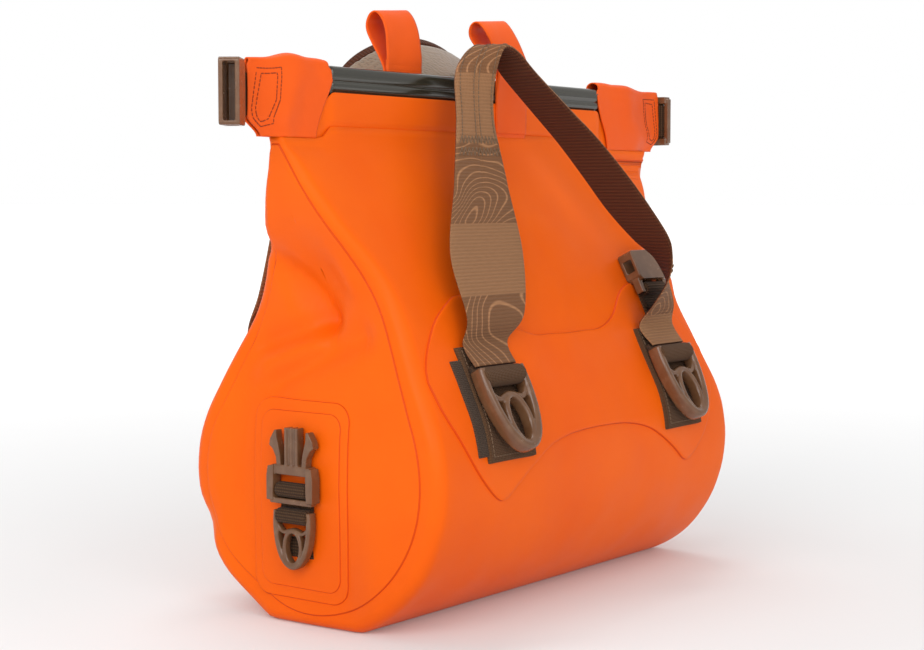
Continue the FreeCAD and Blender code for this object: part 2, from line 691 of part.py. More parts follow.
def closure_tab(word, side):
    """Fabric folded over the end of the closure, with the buckle's webbing sewn into it."""
    label = "closure_tab_" + word
    start = dim("RailLeft" if side < 0 else "RailRight") + dim("TabGap")
    end = dim("TabEnd")
    low, high = dim("TabBottom"), dim("ClosureTop")
    cut = dim("TabChamfer")
    half = dim("TabHalfDepth")
    outline = [(start, low + 3), (start + 3, low), (end - cut, low), (end, low + cut), (end, high),
               (start, high)]
    places = [Vector(side * x, -half, z) for x, z in outline]
    block = Part.Face(Part.makePolygon(places + places[:1])).extrude(Vector(0, 2 * half, 0))
    inner = dim("ClosureWebbingIn")
    reach = inner + dim("ClosureWebbingOut")
    low_z = dim("ClosureWebbingHeight") - HALF_WEB
    from_x = min(side * (end - inner), side * (end - inner + reach))
    webbing = Part.makeBox(reach, dim("WebbingThickness"), dim("WebbingWidth"),
                           Vector(from_x, -dim("WebbingThickness") / 2, low_z))
    feature(label, block.cut(webbing))
    feature("closure_webbing_" + word, webbing)


closure_tab("left", -1)
closure_tab("right", 1)

bar_reach = dim("TabEnd") + dim("ClosureWebbingOut") + dim("EndRollRadius")

# the left tab's female half points outwards and is turned to the front
closure_left_at = Vector(-bar_reach, 0, dim("ClosureWebbingHeight"))
webbing_roll("closure_roll_left", closure_left_at, Vector(0, 0, 1), dim("BuckleBarRadius"),
             dim("EndRollRadius"), HALF_WEB)
outwards = FreeCAD.Rotation(Vector(0, 1, 0), -90)
turned = FreeCAD.Rotation(Vector(0, 0, 1), dim("ClosureBuckleTurn"))
place(female_housing("closure_female_buckle"), closure_left_at, turned.multiply(outwards))

# the right tab's male half is turned to the back
closure_right_at = Vector(bar_reach, 0, dim("ClosureWebbingHeight"))
webbing_roll("closure_roll_right", closure_right_at, Vector(0, 0, 1), dim("BuckleBarRadius"),
             dim("EndRollRadius"), HALF_WEB)
place_buckle([male_frame("closure_male_buckle"), prong("closure_prong_upper", 1),
              prong("closure_prong_lower", -1)], closure_right_at, FreeCAD.Rotation(Vector(1, 1, 1), -120))


def pull_loop(label, middle_x, side, foot):
    """The loop's solid: a closed band with a finger gap, and a foot sewn over its rail."""
    fabric = dim("LoopFabric")
    radius = dim("LoopRadius")
    inner = radius - fabric
    top = dim("PullLoopTop")
    arch_z = top - radius
    neck_z = dim("ClosureTop") + dim("LoopNeck")
    rail_face = dim("SealGap") / 2 + dim("RailDepth") + dim("HeaderThickness") + 0.05
    middle_y = side * (rail_face + fabric)

    def at(y, z):
        return Vector(0, middle_y + y, z)

    def line(a, b):
        return Part.LineSegment(a, b).toShape()

    outer_arch = (at(-radius, arch_z), at(0, top), at(radius, arch_z))
    neck = (at(fabric, neck_z), at(-fabric, neck_z))
    face = Part.Face(Part.Wire([Part.Arc(*outer_arch).toShape(), line(outer_arch[2], neck[0]),
                                line(*neck), line(neck[1], outer_arch[0])]))
    inner_arch = (at(-inner, arch_z), at(0, arch_z + inner), at(inner, arch_z))
    crotch = at(0, neck_z + 3 * fabric)
    gap = Part.Face(Part.Wire([Part.Arc(*inner_arch).toShape(), line(inner_arch[2], crotch),
                               line(crotch, inner_arch[0])]))
    width = dim("PullLoopWidth")
    band = face.cut(gap).extrude(Vector(width, 0, 0))
    foot_low = dim("ClosureTop") - foot
    foot_block = Part.makeBox(width, 2 * fabric, neck_z - foot_low, at(-fabric, foot_low))
    solid = band.fuse(foot_block).removeSplitter()
    solid.translate(Vector(middle_x - width / 2, 0, 0))
    feature(label, solid)


pull_loop("pull_loop_rear", dim("RearLoopX"), 1, dim("RearLoopFoot"))
pull_loop("pull_loop_front", dim("FrontLoopX"), -1, dim("FrontLoopFoot"))


# ---------------------------------------------------------------- handle and shoulder strap

def ribbon(stations, thickness, end_trim=0.0):
    """A strap through stations of centre, width direction and half width."""
    wires = []
    for k, (centre, across, half) in enumerate(stations):
        before = Vector(*stations[max(k - 1, 0)][0])
        after = Vector(*stations[min(k + 1, len(stations) - 1)][0])
        width = Vector(*across).normalize()
        normal = (after - before).cross(width).normalize() * (thickness / 2)
        width = width * (half - end_trim)
        middle = Vector(*centre)
        corners = [middle - width - normal, middle + width - normal,
                   middle + width + normal, middle - width + normal]
        wires.append(Part.makePolygon(corners + corners[:1]))
    return Part.makeLoft(wires, True, True)


def strap_foot(drop):
    """Depth and height of a strap's sewn foot, just above its anchor."""
    height = dim("AnchorHigh") - drop + 2.5
    return half_depth(height, dim("PatchThickness") + 0.8 * dim("StrapThickness")), height


FOOT_Y, FOOT_Z = strap_foot(0.0)
HANDLE_STATIONS = [
    ((-102, -FOOT_Y, FOOT_Z), (1, 0, 0), 25), ((-93, -77, 190), (1, 0, 0), 31),
    ((-77, -62, 228), (1, 0, 0), 38), ((-62, -46, 272), (1, 0, 0), 28),
    ((-52, -34, 310), (1, -0.1, 0), 18), ((-45, -28, 338), (1, -0.3, 0), 17),
    ((-38, -27, 352), (0.8, -0.8, 0), 16), ((-28, -28, 360), (0.3, -1, 0), 16),
    ((-15, -30, 357), (0, -1, 0), 17), ((-4, -34, 343), (0, -1, 0), 18),
    ((21, -42, 322), (0, -1, 0), 18), ((42, -51, 300), (0, -1, 0), 18),
    ((58, -63, 276), (0, -1, 0), 18), ((72, -73, 254), (0, -1, 0), 18),
    ((86, -82, 234), (-0.2, -1, 0), 17), ((95, -87, 220), (-0.6, -0.8, 0), 15),
    ((100, -87, 204), (-0.85, -0.5, 0), 18), ((103, -82, 188), (-1, -0.2, 0), 23),
    ((104, -FOOT_Y, FOOT_Z), (-1, 0, 0), 25)]
feature("front_handle", ribbon(HANDLE_STATIONS, dim("StrapThickness")))

REAR_FOOT_Y, REAR_FOOT_Z = strap_foot(dim("RearDrop"))
rear_x = dim("RearRingX")
LEG_STATIONS = [((rear_x, REAR_FOOT_Y, REAR_FOOT_Z), (1, 0, 0), 25),
                ((rear_x - 1, 84, 176), (1, 0, 0), 23), ((rear_x - 4, 80, 200), (1, 0, 0), 20),
                ((rear_x - 10, 74, 232), (1, 0.2, 0), 19), ((rear_x - 19, 61, 278), (0.6, 0.8, 0), 20),
                ((rear_x - 29, 47, 318), (0.2, 1, 0), 21)]
ARCH_STATIONS = [((rear_x - 33, 44, 326), (0, 1, 0), 24), ((62, 42, 350), (0, 1, 0), 26),
                 ((34, 41, 362.5), (0, 1, 0), 27), ((0, 41, 367), (0, 1, 0), 27)]


def mirrored(stations):
    """The same stations on the other side of the middle, in running order."""
    return [((-c[0], c[1], c[2]), (w[0], -w[1], w[2]), half) for c, w, half in reversed(stations)]


for word, leg in (("right", LEG_STATIONS), ("left", mirrored(LEG_STATIONS))):
    feature("shoulder_strap_" + word, ribbon(leg, dim("StrapThickness")))

arch = ARCH_STATIONS + mirrored(ARCH_STATIONS[:-1])
arch = [(centre, (0, 1, 0), half) for centre, across, half in arch]
feature("shoulder_pad", ribbon(arch, dim("PadThickness"), dim("PadBinding")))


# ---------------------------------------------------------------- check and write

doc.recompute()
for obj in doc.Objects:
    if "Invalid" in obj.State or "Error" in obj.State:
        raise RuntimeError("%s is %s" % (obj.Label, obj.State))
os.makedirs("parts", exist_ok=True)
for obj in subparts:
    if obj.Shape.isNull() or not obj.Shape.isValid() or not obj.Shape.Solids:
        raise RuntimeError("%s has no valid solid" % obj.Label)
for obj in subparts:
    obj.Shape.exportStep("parts/%s.step" % obj.Label)
print(len(subparts), "sub-parts")
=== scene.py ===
"""Looks of the waterproof strap bag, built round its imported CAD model. Metres, row frame."""
import json
import math
from contextlib import contextmanager

import bmesh
import bpy
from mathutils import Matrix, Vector, noise
from mathutils.bvhtree import BVHTree


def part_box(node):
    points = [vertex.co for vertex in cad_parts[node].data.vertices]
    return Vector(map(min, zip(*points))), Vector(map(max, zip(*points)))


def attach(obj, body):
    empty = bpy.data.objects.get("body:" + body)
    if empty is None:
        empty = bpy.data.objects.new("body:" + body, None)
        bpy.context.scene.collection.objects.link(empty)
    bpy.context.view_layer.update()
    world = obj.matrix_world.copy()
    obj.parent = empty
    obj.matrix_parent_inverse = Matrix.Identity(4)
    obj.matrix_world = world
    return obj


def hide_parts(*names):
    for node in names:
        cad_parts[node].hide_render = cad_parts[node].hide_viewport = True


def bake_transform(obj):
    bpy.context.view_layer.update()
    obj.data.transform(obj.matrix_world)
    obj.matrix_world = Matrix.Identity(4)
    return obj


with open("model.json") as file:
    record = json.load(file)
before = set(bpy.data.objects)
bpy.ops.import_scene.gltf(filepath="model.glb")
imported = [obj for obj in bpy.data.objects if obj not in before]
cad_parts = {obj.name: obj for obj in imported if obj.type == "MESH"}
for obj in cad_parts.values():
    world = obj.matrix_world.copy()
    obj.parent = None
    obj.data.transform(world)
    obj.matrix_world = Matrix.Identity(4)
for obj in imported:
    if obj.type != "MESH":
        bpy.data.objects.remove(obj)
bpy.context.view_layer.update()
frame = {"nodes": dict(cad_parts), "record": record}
nodes = frame["nodes"]
MM = 0.001

# ------------------------------------------------------------------ sizes taken from the frame

shell_low, shell_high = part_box("main_panel")
PANEL_TOP = shell_high.z
BOTTOM_RADIUS = shell_high.y
AXIS_HEIGHT = 91.5 * MM                     # centre of the round lower part
TOP_HALF_DEPTH = 6.0 * MM
patch_low, patch_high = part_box("end_patch_left")
HALF_LENGTH = -patch_high.x                 # the flat of the ends
rail_low, rail_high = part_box("seal_rail_rear")
CLOSURE_TOP = rail_high.z
SAME_PLACE = 0.05 * MM                      # points nearer than this are one point
OUTLINE_DEPTH = 60 * MM                     # outlines are drawn here before they are laid on the bag
FACES = (("front", -1), ("rear", 1))
ENDS = (("left", -1), ("right", 1))


# ------------------------------------------------------------------ small helpers

def smooth(low, high, value):
    """0 below low, 1 above high, and a smooth step between."""
    share = min(max((value - low) / (high - low), 0.0), 1.0)
    return share * share * (3 - 2 * share)


def mix(a, b, share):
    return a + (b - a) * share


def hump(value, middle, width):
    """1 at the middle, fading smoothly to 0 on both sides."""
    return math.exp(-((value - middle) / width) ** 2)


def curve_value(points, at):
    """A smooth line through (place, value) pairs, level at its ends."""
    if at <= points[0][0]:
        return points[0][1]
    for k in range(len(points) - 1):
        (x0, y0), (x1, y1) = points[k], points[k + 1]
        if at <= x1:
            before = points[max(k - 1, 0)]
            after = points[min(k + 2, len(points) - 1)]
            slope0 = (y1 - before[1]) / max(x1 - before[0], 1e-9)
            slope1 = (after[1] - y0) / max(after[0] - x0, 1e-9)
            t = (at - x0) / (x1 - x0)
            span = x1 - x0
            return ((2 * t**3 - 3 * t**2 + 1) * y0 + (t**3 - 2 * t**2 + t) * span * slope0
                    + (3 * t**2 - 2 * t**3) * y1 + (t**3 - t**2) * span * slope1)
    return points[-1][1]


def curve_point(points, t):
    """A Catmull-Rom curve through vectors, with t from 0 to 1 over the whole of it."""
    count = len(points) - 1
    place = min(max(t, 0.0), 1.0) * count
    k = min(int(place), count - 1)
    u = place - k
    p0, p1 = points[max(k - 1, 0)], points[k]
    p2, p3 = points[k + 1], points[min(k + 2, count)]
    return 0.5 * ((2 * p1) + (p2 - p0) * u + (2 * p0 - 5 * p1 + 4 * p2 - p3) * u * u
                  + (3 * p1 - p0 - 3 * p2 + p3) * u ** 3)


def new_object(name, verts, faces, material, uvs=None):
    """A smooth-shaded object; uvs holds a cloth coordinate in metres for each point."""
    mesh = bpy.data.meshes.new(name)
    mesh.from_pydata([tuple(v) for v in verts], [], faces)
    if uvs is not None:
        layer = mesh.uv_layers.new(name="Cloth")
        for loop in mesh.loops:
            layer.data[loop.index].uv = uvs[loop.vertex_index]
    mesh.update()
    mesh.polygons.foreach_set("use_smooth", [True] * len(mesh.polygons))
    obj = bpy.data.objects.new(name, mesh)
    bpy.context.scene.collection.objects.link(obj)
    if material is not None:
        obj.data.materials.append(material)
    return obj


def grid_faces(rows, columns, close_rows=False, close_columns=False, start=0):
    """Four-cornered faces between rows of points."""
    faces = []
    for i in range(rows if close_rows else rows - 1):
        for j in range(columns if close_columns else columns - 1):
            a = start + i * columns + j
            b = start + i * columns + (j + 1) % columns
            c = start + ((i + 1) % rows) * columns + (j + 1) % columns
            d = start + ((i + 1) % rows) * columns + j
            faces.append((a, b, c, d))
    return faces


def tube_faces(rows, ring, start=0):
    """Faces of a tube made of rings of points, with a cap on each end."""
    last = start + (rows - 1) * ring
    return grid_faces(rows, ring, close_columns=True, start=start) + [
        tuple(reversed(range(start, start + ring))), tuple(range(last, last + ring))]


def apply_modifiers(obj):
    """Replace the mesh by what its modifiers make of it."""
    bpy.context.view_layer.update()
    graph = bpy.context.evaluated_depsgraph_get()
    mesh = bpy.data.meshes.new_from_object(obj.evaluated_get(graph))
    obj.modifiers.clear()
    obj.data = mesh
    return obj


def thicken(obj, thickness, offset=-1.0):
    """Give cloth its thickness."""
    solid = obj.modifiers.new("Thickness", "SOLIDIFY")
    solid.thickness = thickness
    solid.offset = offset
    return apply_modifiers(obj)


@contextmanager
def editing(obj):
    """Lend an object's mesh for changes and put it back."""
    mesh = bmesh.new()
    mesh.from_mesh(obj.data)
    yield mesh
    mesh.to_mesh(obj.data)
    mesh.free()


def recalc_normals(obj):
    with editing(obj) as mesh:
        bmesh.ops.recalc_face_normals(mesh, faces=mesh.faces)


def map_range(tree, source, target, from_low, from_high, to_low, to_high):
    """Bring a value from one range to another on its way between two sockets."""
    out = tree.nodes.new("ShaderNodeMapRange")
    for socket, value in (("From Min", from_low), ("From Max", from_high), ("To Min", to_low),
                          ("To Max", to_high)):
        out.inputs[socket].default_value = value
    tree.links.new(source, out.inputs["Value"])
    tree.links.new(out.outputs["Result"], target)


# ------------------------------------------------------------------ materials

class Shader:
    """A small builder of node materials."""

    def __init__(self, name, base, roughness, specular=0.5):
        self.material = bpy.data.materials.new(name)
        self.material.use_nodes = True
        self.tree = self.material.node_tree
        self.bsdf = self.tree.nodes["Principled BSDF"]
        self.bsdf.inputs["Base Color"].default_value = (*base, 1)
        self.bsdf.inputs["Roughness"].default_value = roughness
        self.bsdf.inputs["Specular IOR Level"].default_value = specular
        self.height = None

    def node(self, kind, **settings):
        out = self.tree.nodes.new(kind)
        for key, value in settings.items():
            if key in out.inputs:
                out.inputs[key].default_value = value
            else:
                setattr(out, key, value)
        return out

    def link(self, source, target):
        self.tree.links.new(source, target)

    def place(self, kind="Object", scale=(1, 1, 1)):
        coordinate = self.node("ShaderNodeTexCoord")
        mapping = self.node("ShaderNodeMapping")
        mapping.inputs["Scale"].default_value = scale
        self.link(coordinate.outputs[kind], mapping.inputs["Vector"])
        return mapping.outputs["Vector"]

    def noise(self, scale, detail=3.0, kind="Object", stretch=(1, 1, 1), distortion=0.0):
        out = self.node("ShaderNodeTexNoise", Scale=scale, Detail=detail, Distortion=distortion)
        self.link(self.place(kind, stretch), out.inputs["Vector"])
        return out.outputs["Fac"]

    def wave(self, scale, direction="X", kind="UV", phase=0.0):
        out = self.node("ShaderNodeTexWave", Scale=scale, bands_direction=direction)
        out.inputs["Phase Offset"].default_value = phase
        self.link(self.place(kind), out.inputs["Vector"])
        return out.outputs["Fac"]

    def math(self, operation, a, b):
        out = self.node("ShaderNodeMath", operation=operation)
        for socket, value in zip(out.inputs, (a, b)):
            if hasattr(value, "links"):
                self.link(value, socket)
            else:
                socket.default_value = value
        return out.outputs[0]

    def ramp(self, value, stops):
        out = self.node("ShaderNodeValToRGB")
        ramp = out.color_ramp
        while len(ramp.elements) < len(stops):
            ramp.elements.new(0.5)
        for element, (position, colour) in zip(ramp.elements, stops):
            element.position = position
            element.color = (*colour, 1)
        self.link(value, out.inputs["Fac"])
        return out.outputs["Color"]

    def mix_colour(self, share, a, b, blend="MIX"):
        out = self.node("ShaderNodeMix", data_type="RGBA", blend_type=blend)
        for socket, value in ((out.inputs[0], share), (out.inputs[6], a), (out.inputs[7], b)):
            if hasattr(value, "links"):
                self.link(value, socket)
            elif isinstance(value, (int, float)):
                socket.default_value = value
            else:
                socket.default_value = (*value, 1)
        return out.outputs[2]

    def colour(self, socket):
        self.link(socket, self.bsdf.inputs["Base Color"])

    def roughness(self, socket, low, high):
        map_range(self.tree, socket, self.bsdf.inputs["Roughness"], 0.0, 1.0, low, high)

    def top_layer(self, kind, weight, roughness=0.5):
        """Weight and roughness of the Sheen or the Coat."""
        self.bsdf.inputs[kind + " Weight"].default_value = weight
        self.bsdf.inputs[kind + " Roughness"].default_value = roughness

    def bump(self, socket, distance, strength=1.0):
        out = self.node("ShaderNodeBump", Strength=strength, Distance=distance)
        self.link(socket, out.inputs["Height"])
        if self.height is not None:
            self.link(self.height, out.inputs["Normal"])
        self.height = out.outputs["Normal"]
        self.link(self.height, self.bsdf.inputs["Normal"])


def coated_fabric(name, base, deep):
    """Matt polyurethane film over a fine woven nylon."""
    s = Shader(name, base, 0.5, 0.10)
    cloud = s.noise(9.0, 4.0)
    s.colour(s.ramp(cloud, [(0.30, deep), (0.62, base)]))
    s.roughness(s.noise(60.0, 3.0), 0.36, 0.50)
    warp = s.wave(520.0, "X", "Object")
    weft = s.wave(520.0, "Z", "Object")
    s.bump(s.math("ADD", warp, weft), 0.00003, 0.5)
    s.bump(s.noise(26.0, 3.0), 0.0006, 0.35)
    s.top_layer("Sheen", 0.01, 0.4)
    s.top_layer("Coat", 0.02, 0.35)
    return s.material


def jacquard(name, light, dark):
    """Wide webbing: cross ribs, with a generic grain of closed rings woven in."""
    s = Shader(name, light, 0.85, 0.12)
    rings = s.noise(0.55, 1.0, "UV", (26, 20, 1), 0.4)
    bands = s.math("FRACT", s.math("MULTIPLY", rings, 26.0), 0.0)
    black, white = (0, 0, 0), (1, 1, 1)
    lines = s.ramp(bands, [(0.40, black), (0.48, white), (0.56, white), (0.66, black)])
    zones = s.ramp(s.wave(3.0, "X", "UV", phase=1.8), [(0.44, black), (0.46, white)])
    lines = s.mix_colour(1.0, lines, zones, "MULTIPLY")
    ribs = s.wave(130.0, "X", "UV")
    picks = s.wave(260.0, "Y", "UV")
    weave = s.math("MULTIPLY", ribs, picks)
    ground = s.mix_colour(zones, light, dark)
    toned = s.mix_colour(lines, ground, tuple(c * 1.35 for c in light))
    s.colour(s.mix_colour(s.math("MULTIPLY", weave, 0.35), toned, tuple(c * 0.5 for c in dark)))
    s.bump(ribs, 0.00045, 0.8)
    s.bump(picks, 0.00015, 0.6)
    s.bump(lines, 0.0002, 0.5)
    s.top_layer("Sheen", 0.05, 0.5)
    return s.material


def webbing(name, light, dark, rib):
    """Plain webbing with strong ribs across it; rib is how close they are."""
    s = Shader(name, light, 0.82, 0.12)
    ribs = s.wave(rib, "X", "UV")
    picks = s.wave(210.0, "Y", "UV")
    tone = s.mix_colour(s.math("MULTIPLY", ribs, picks), dark, light)
    s.colour(s.mix_colour(s.math("MULTIPLY", s.noise(300.0, 2.0), 0.3), tone, dark))
    s.bump(ribs, 0.0005, 0.9)
    s.bump(picks, 0.0002, 0.7)
    s.top_layer("Sheen", 0.04)
    return s.material


def moulded(name, base, worn):
    """Moulded nylon: satin gloss, slight orange peel and rubbed patches."""
    s = Shader(name, base, 0.3, 0.5)
    s.colour(s.ramp(s.noise(120.0, 5.0), [(0.45, base), (0.78, worn)]))
    s.roughness(s.noise(240.0, 4.0), 0.17, 0.32)
    s.bump(s.noise(900.0, 2.0), 0.00006, 0.5)
    s.top_layer("Coat", 0.1, 0.2)
    return s.material


def seal_plastic(name, base):
    """Glossy extruded seal with faint drawing lines along it."""
    s = Shader(name, base, 0.18, 0.6)
    lines = s.noise(1.0, 2.0, "Object", (6, 900, 900))
    s.colour(s.ramp(lines, [(0.35, tuple(c * 0.75 for c in base)), (0.7, tuple(c * 1.3 for c in base))]))
    s.roughness(s.noise(45.0, 3.0), 0.12, 0.26)
    s.bump(lines, 0.00008, 0.5)
    s.top_layer("Coat", 0.3, 0.1)
    return s.material


def brushed_knit(name, base, dark):
    """Spacer mesh of the shoulder pad."""
    s = Shader(name, base, 0.9, 0.2)
    cells = s.node("ShaderNodeTexVoronoi", Scale=420.0)
    s.link(s.place("Object"), cells.inputs["Vector"])
    distance = cells.outputs["Distance"]
    s.colour(s.ramp(distance, [(0.05, dark), (0.45, base)]))
    s.bump(distance, 0.0005, 0.8)
    s.top_layer("Sheen", 0.4)
    return s.material


def thread(name, base):
    s = Shader(name, base, 0.7, 0.3)
    s.bump(s.noise(2500.0, 2.0), 0.00005, 0.6)
    s.colour(s.ramp(s.noise(700.0, 2.0), [(0.3, tuple(c * 0.7 for c in base)), (0.7, base)]))
    return s.material


ORANGE = coated_fabric("orange_film", (0.86, 0.124, 0.002), (0.80, 0.100, 0.002))
ORANGE_TAB = coated_fabric("orange_tab", (0.84, 0.108, 0.010), (0.76, 0.085, 0.006))
# darker copy of the orange for the rims of welded patches: painted shade along each patch's edge step
WELD_EDGE_SHADE = coated_fabric("weld_edge_painted_shade", (0.66, 0.068, 0.003), (0.60, 0.056, 0.002))
JACQUARD = jacquard("grain_webbing", (0.290, 0.142, 0.066), (0.190, 0.087, 0.040))
UNDERSIDE = webbing("ribbed_webbing", (0.132, 0.042, 0.018), (0.062, 0.020, 0.009), 110.0)
NARROW = webbing("narrow_webbing", (0.135, 0.072, 0.034), (0.040, 0.019, 0.010), 160.0)
ROLL = webbing("roll_webbing", (0.165, 0.084, 0.040), (0.090, 0.043, 0.020), 330.0)
PLASTIC = moulded("brown_nylon", (0.135, 0.060, 0.026), (0.180, 0.090, 0.044))
SEAL = seal_plastic("seal_extrusion", (0.030, 0.027, 0.017))
PAD = brushed_knit("pad_mesh", (0.235, 0.165, 0.104), (0.12, 0.084, 0.052))
TAG = webbing("tag_weave", (0.120, 0.078, 0.052), (0.060, 0.038, 0.026), 300.0)
STITCH_DARK = thread("dark_thread", (0.32, 0.045, 0.012))
STITCH_BROWN = thread("brown_thread", (0.20, 0.12, 0.07))


# ------------------------------------------------------------------ the bag's outer surface

def slope_angle():
    """How far the straight sides lean in, where they touch the round lower part."""
    rise = PANEL_TOP - AXIS_HEIGHT
    reach = math.hypot(TOP_HALF_DEPTH, rise)
    return math.atan2(rise, TOP_HALF_DEPTH) - math.acos(BOTTOM_RADIUS / reach)


SLOPE = slope_angle()
TANGENT_Z = AXIS_HEIGHT + BOTTOM_RADIUS * math.sin(SLOPE)
FLOOR_ANGLE = math.acos(AXIS_HEIGHT / BOTTOM_RADIUS)    # where the round part meets the floor
SHELL_TOP = PANEL_TOP + 9 * MM
# height and how far the ends stand out from the flat of the ends
END_LINE = [(height * MM, out * MM) for height, out in (
    (0, 0), (110, 0), (150, -4), (190, -9), (212, -6), (228, 2), (245, 13), (262, 22), (278, 28), (305, 33))]
CORNER = 9 * MM                             # roundness between the ends and the round of the bag


def slope_depth(z, radius=BOTTOM_RADIUS):
    """Half depth at a height, on the straight slope over a round lower part of this radius."""
    tangent = AXIS_HEIGHT + radius * math.sin(SLOPE)
    return radius * math.cos(SLOPE) - (z - tangent) * math.tan(SLOPE)


def profile_point(s):
    """The teardrop's half outline (depth, height), from the middle of the floor (0) to its top (1)."""
    flat = BOTTOM_RADIUS * math.sin(FLOOR_ANGLE)
    arc = BOTTOM_RADIUS * (math.pi / 2 + SLOPE - FLOOR_ANGLE)
    straight = (SHELL_TOP - TANGENT_Z) / math.cos(SLOPE)
    run = s * (flat + arc + straight)
    if run < flat:
        return run, 0.0
    run -= flat
    if run < arc:
        turn = FLOOR_ANGLE + run / BOTTOM_RADIUS
        return BOTTOM_RADIUS * math.sin(turn), AXIS_HEIGHT - BOTTOM_RADIUS * math.cos(turn)
    z = TANGENT_Z + (run - arc) * math.cos(SLOPE)
    return max(slope_depth(z), TOP_HALF_DEPTH), z


def end_reach(z):
    """How far the ends are from the middle at a height."""
    return HALF_LENGTH + curve_value(END_LINE, z)


def crease(point, a, b, width, depth, direction, reach):
    """A soft valley along the line a-b, or a ridge when depth is negative."""
    run = b - a
    t = min(max((point - a).dot(run) / run.length_squared, 0.0), 1.0)
    away = (point - (a + run * t)).length
    return direction * (depth * hump(away, 0, width) * reach)


def vec(x, y, z):
    """A point given in millimetres."""
    return Vector((x, y, z)) * MM


def soft_shape(point):
    """How the filled bag really hangs: its dents, folds and ripples."""
    moved = point.copy()
    x, y, z = (c / MM for c in point)
    front = smooth(-2, -12, y)
    # the right half of the front falls in behind a long slanting fold
    edge_z = curve_value([(30, 330), (60, 318), (95, 300), (112, 275), (135, 235), (165, 205)], x)
    beyond = (z - edge_z) * 0.6
    sink = smooth(-4, 12, beyond) * smooth(20, 60, x) * front * smooth(301, 286, z)
    moved.y += 9 * MM * sink
    lip = hump(beyond, -5, 7) * smooth(30, 70, x) * front * smooth(301, 280, z)
    moved.y -= 3.0 * MM * lip
    # a shallow bulge over the load, in front and behind
    moved.y -= 3.5 * MM * front * hump(z, 190, 55) * hump(x, -10, 110)
    moved.y += 3.0 * MM * smooth(2, 12, y) * hump(z, 180, 55) * hump(x, 0, 110)
    # the ends stand out below, but not under their patch, and fold above it
    for side in (-1, 1):
        out = Vector((side, 0, 0))
        at_end = smooth(HALF_LENGTH / MM - 45, HALF_LENGTH / MM - 12, side * x)
        if at_end <= 0:
            continue
        moved += out * (1.0 * MM * hump(z, 95, 62) * hump(y, 0, 70) * at_end)
        flat = smooth(-56, -26, y) * smooth(78, 42, y) * smooth(-8, 22, z) * smooth(160, 136, z)
        belly = hump(z, 20, 46) * hump(y, 20, 80)
        moved += out * (9.0 * MM * belly * at_end * (1 - flat))
        moved += out * (6.0 * MM * hump(z, 100, 60) * smooth(52, 78, y) * at_end)
        rim = hump((point - vec(side * 174, 88, 58)).length, 0, 12 * MM)
        moved += Vector((-side * 3.0 * MM, -4.0 * MM, 0)) * rim
        moved += out * (-7.0 * MM * hump(z, 205, 26) * smooth(30, 0, abs(y)) * at_end)
        flip = -side
        folds = [((168, 36, 240), (160, -2, 187), 9, -8), ((162, 45, 170), (160, -2, 185), 8, -6),
                 ((162, 42, 158), (162, 4, 173), 8, 4), ((162, 32, 148), (160, -30, 178), 9, -6.5),
                 ((170, -10, 250), (162, -26, 212), 9, 3.5)]
        for a, b, width, depth in folds:
            moved += crease(point, vec(side * a[0], a[1] * flip, a[2]), vec(side * b[0], b[1] * flip, b[2]),
                            width * MM, depth * MM, out, at_end)
    # beyond the rails the top edge tucks under the tabs
    left, right = rail_low.x / MM, rail_high.x / MM
    drop = smooth(right, right + 11, x) + smooth(left, left - 11, x)
    moved.z -= max(z - 288, 0) * 0.45 * drop * MM
    # small ripples where the film is stiff
    ripple = noise.noise(Vector((x / 38, y / 38, z / 38))) * 1.1
    ripple += noise.noise(Vector((x / 15, y / 15 + 7, z / 15))) * 0.25
    normal = Vector((0.25 * (1 if x > 0 else -1), -1 if y < 0 else 1, 0.1)).normalized()
    quiet = smooth(303, 285, z) * smooth(2, 25, z)
    moved += normal * (ripple * MM * quiet)
    return moved


def shell_rows():
    """Rows of points from end to end of the bag, one for each step round its teardrop outline."""
    steps = 64
    outline = [profile_point(1 - k / steps) for k in range(steps)]
    outline = [(-d, z) for d, z in outline] + [(0.0, 0.0)] + [(d, z) for d, z in reversed(outline)]
    rows = []
    body_steps, corner_steps, cap_steps = 60, 9, 14
    for y, z in outline:
        reach = end_reach(z)
        corner = min(CORNER, 0.6 * max(abs(y), 4 * MM)) if z > AXIS_HEIGHT else CORNER
        spine_z = max(z, AXIS_HEIGHT)
        span = math.hypot(y, z - spine_z)
        inward = Vector((0, -y, spine_z - z)) / max(span, 1e-9)
        base = Vector((0, y, z))

        def at(x, inset):
            return base + inward * min(inset, span) + Vector((x, 0, 0))
        half = []
        for k in range(cap_steps):
            share = 1 - k / cap_steps
            inset = corner + (span - corner) * share
            half.append(at(reach, inset))
        for k in range(corner_steps):
            turn = k / corner_steps * math.pi / 2
            half.append(at(reach - corner + corner * math.cos(turn), corner * (1 - math.sin(turn))))
        rows.append([Vector((-p.x, p.y, p.z)) for p in half]
                    + [at(mix(-(reach - corner), reach - corner, k / body_steps), 0.0)
                       for k in range(body_steps + 1)]
                    + list(reversed(half)))
    return rows


def build_shell():
    rows = shell_rows()
    columns = len(rows[0])
    verts = [soft_shape(p) for row in rows for p in row]
    for v in verts:
        v.z = max(v.z, 0.0)
    obj = new_object("bag_shell", verts, grid_faces(len(rows), columns), ORANGE)
    with editing(obj) as mesh:
        bmesh.ops.remove_doubles(mesh, verts=mesh.verts, dist=SAME_PLACE)
        front = [f for f in mesh.faces if f.calc_center_median().y < -60 * MM]
        if sum(f.normal.y for f in front) > 0:
            bmesh.ops.reverse_faces(mesh, faces=mesh.faces)
    return obj


shell = build_shell()
tree = BVHTree.FromPolygons([v.co.copy() for v in shell.data.vertices],
                            [tuple(p.vertices) for p in shell.data.polygons])


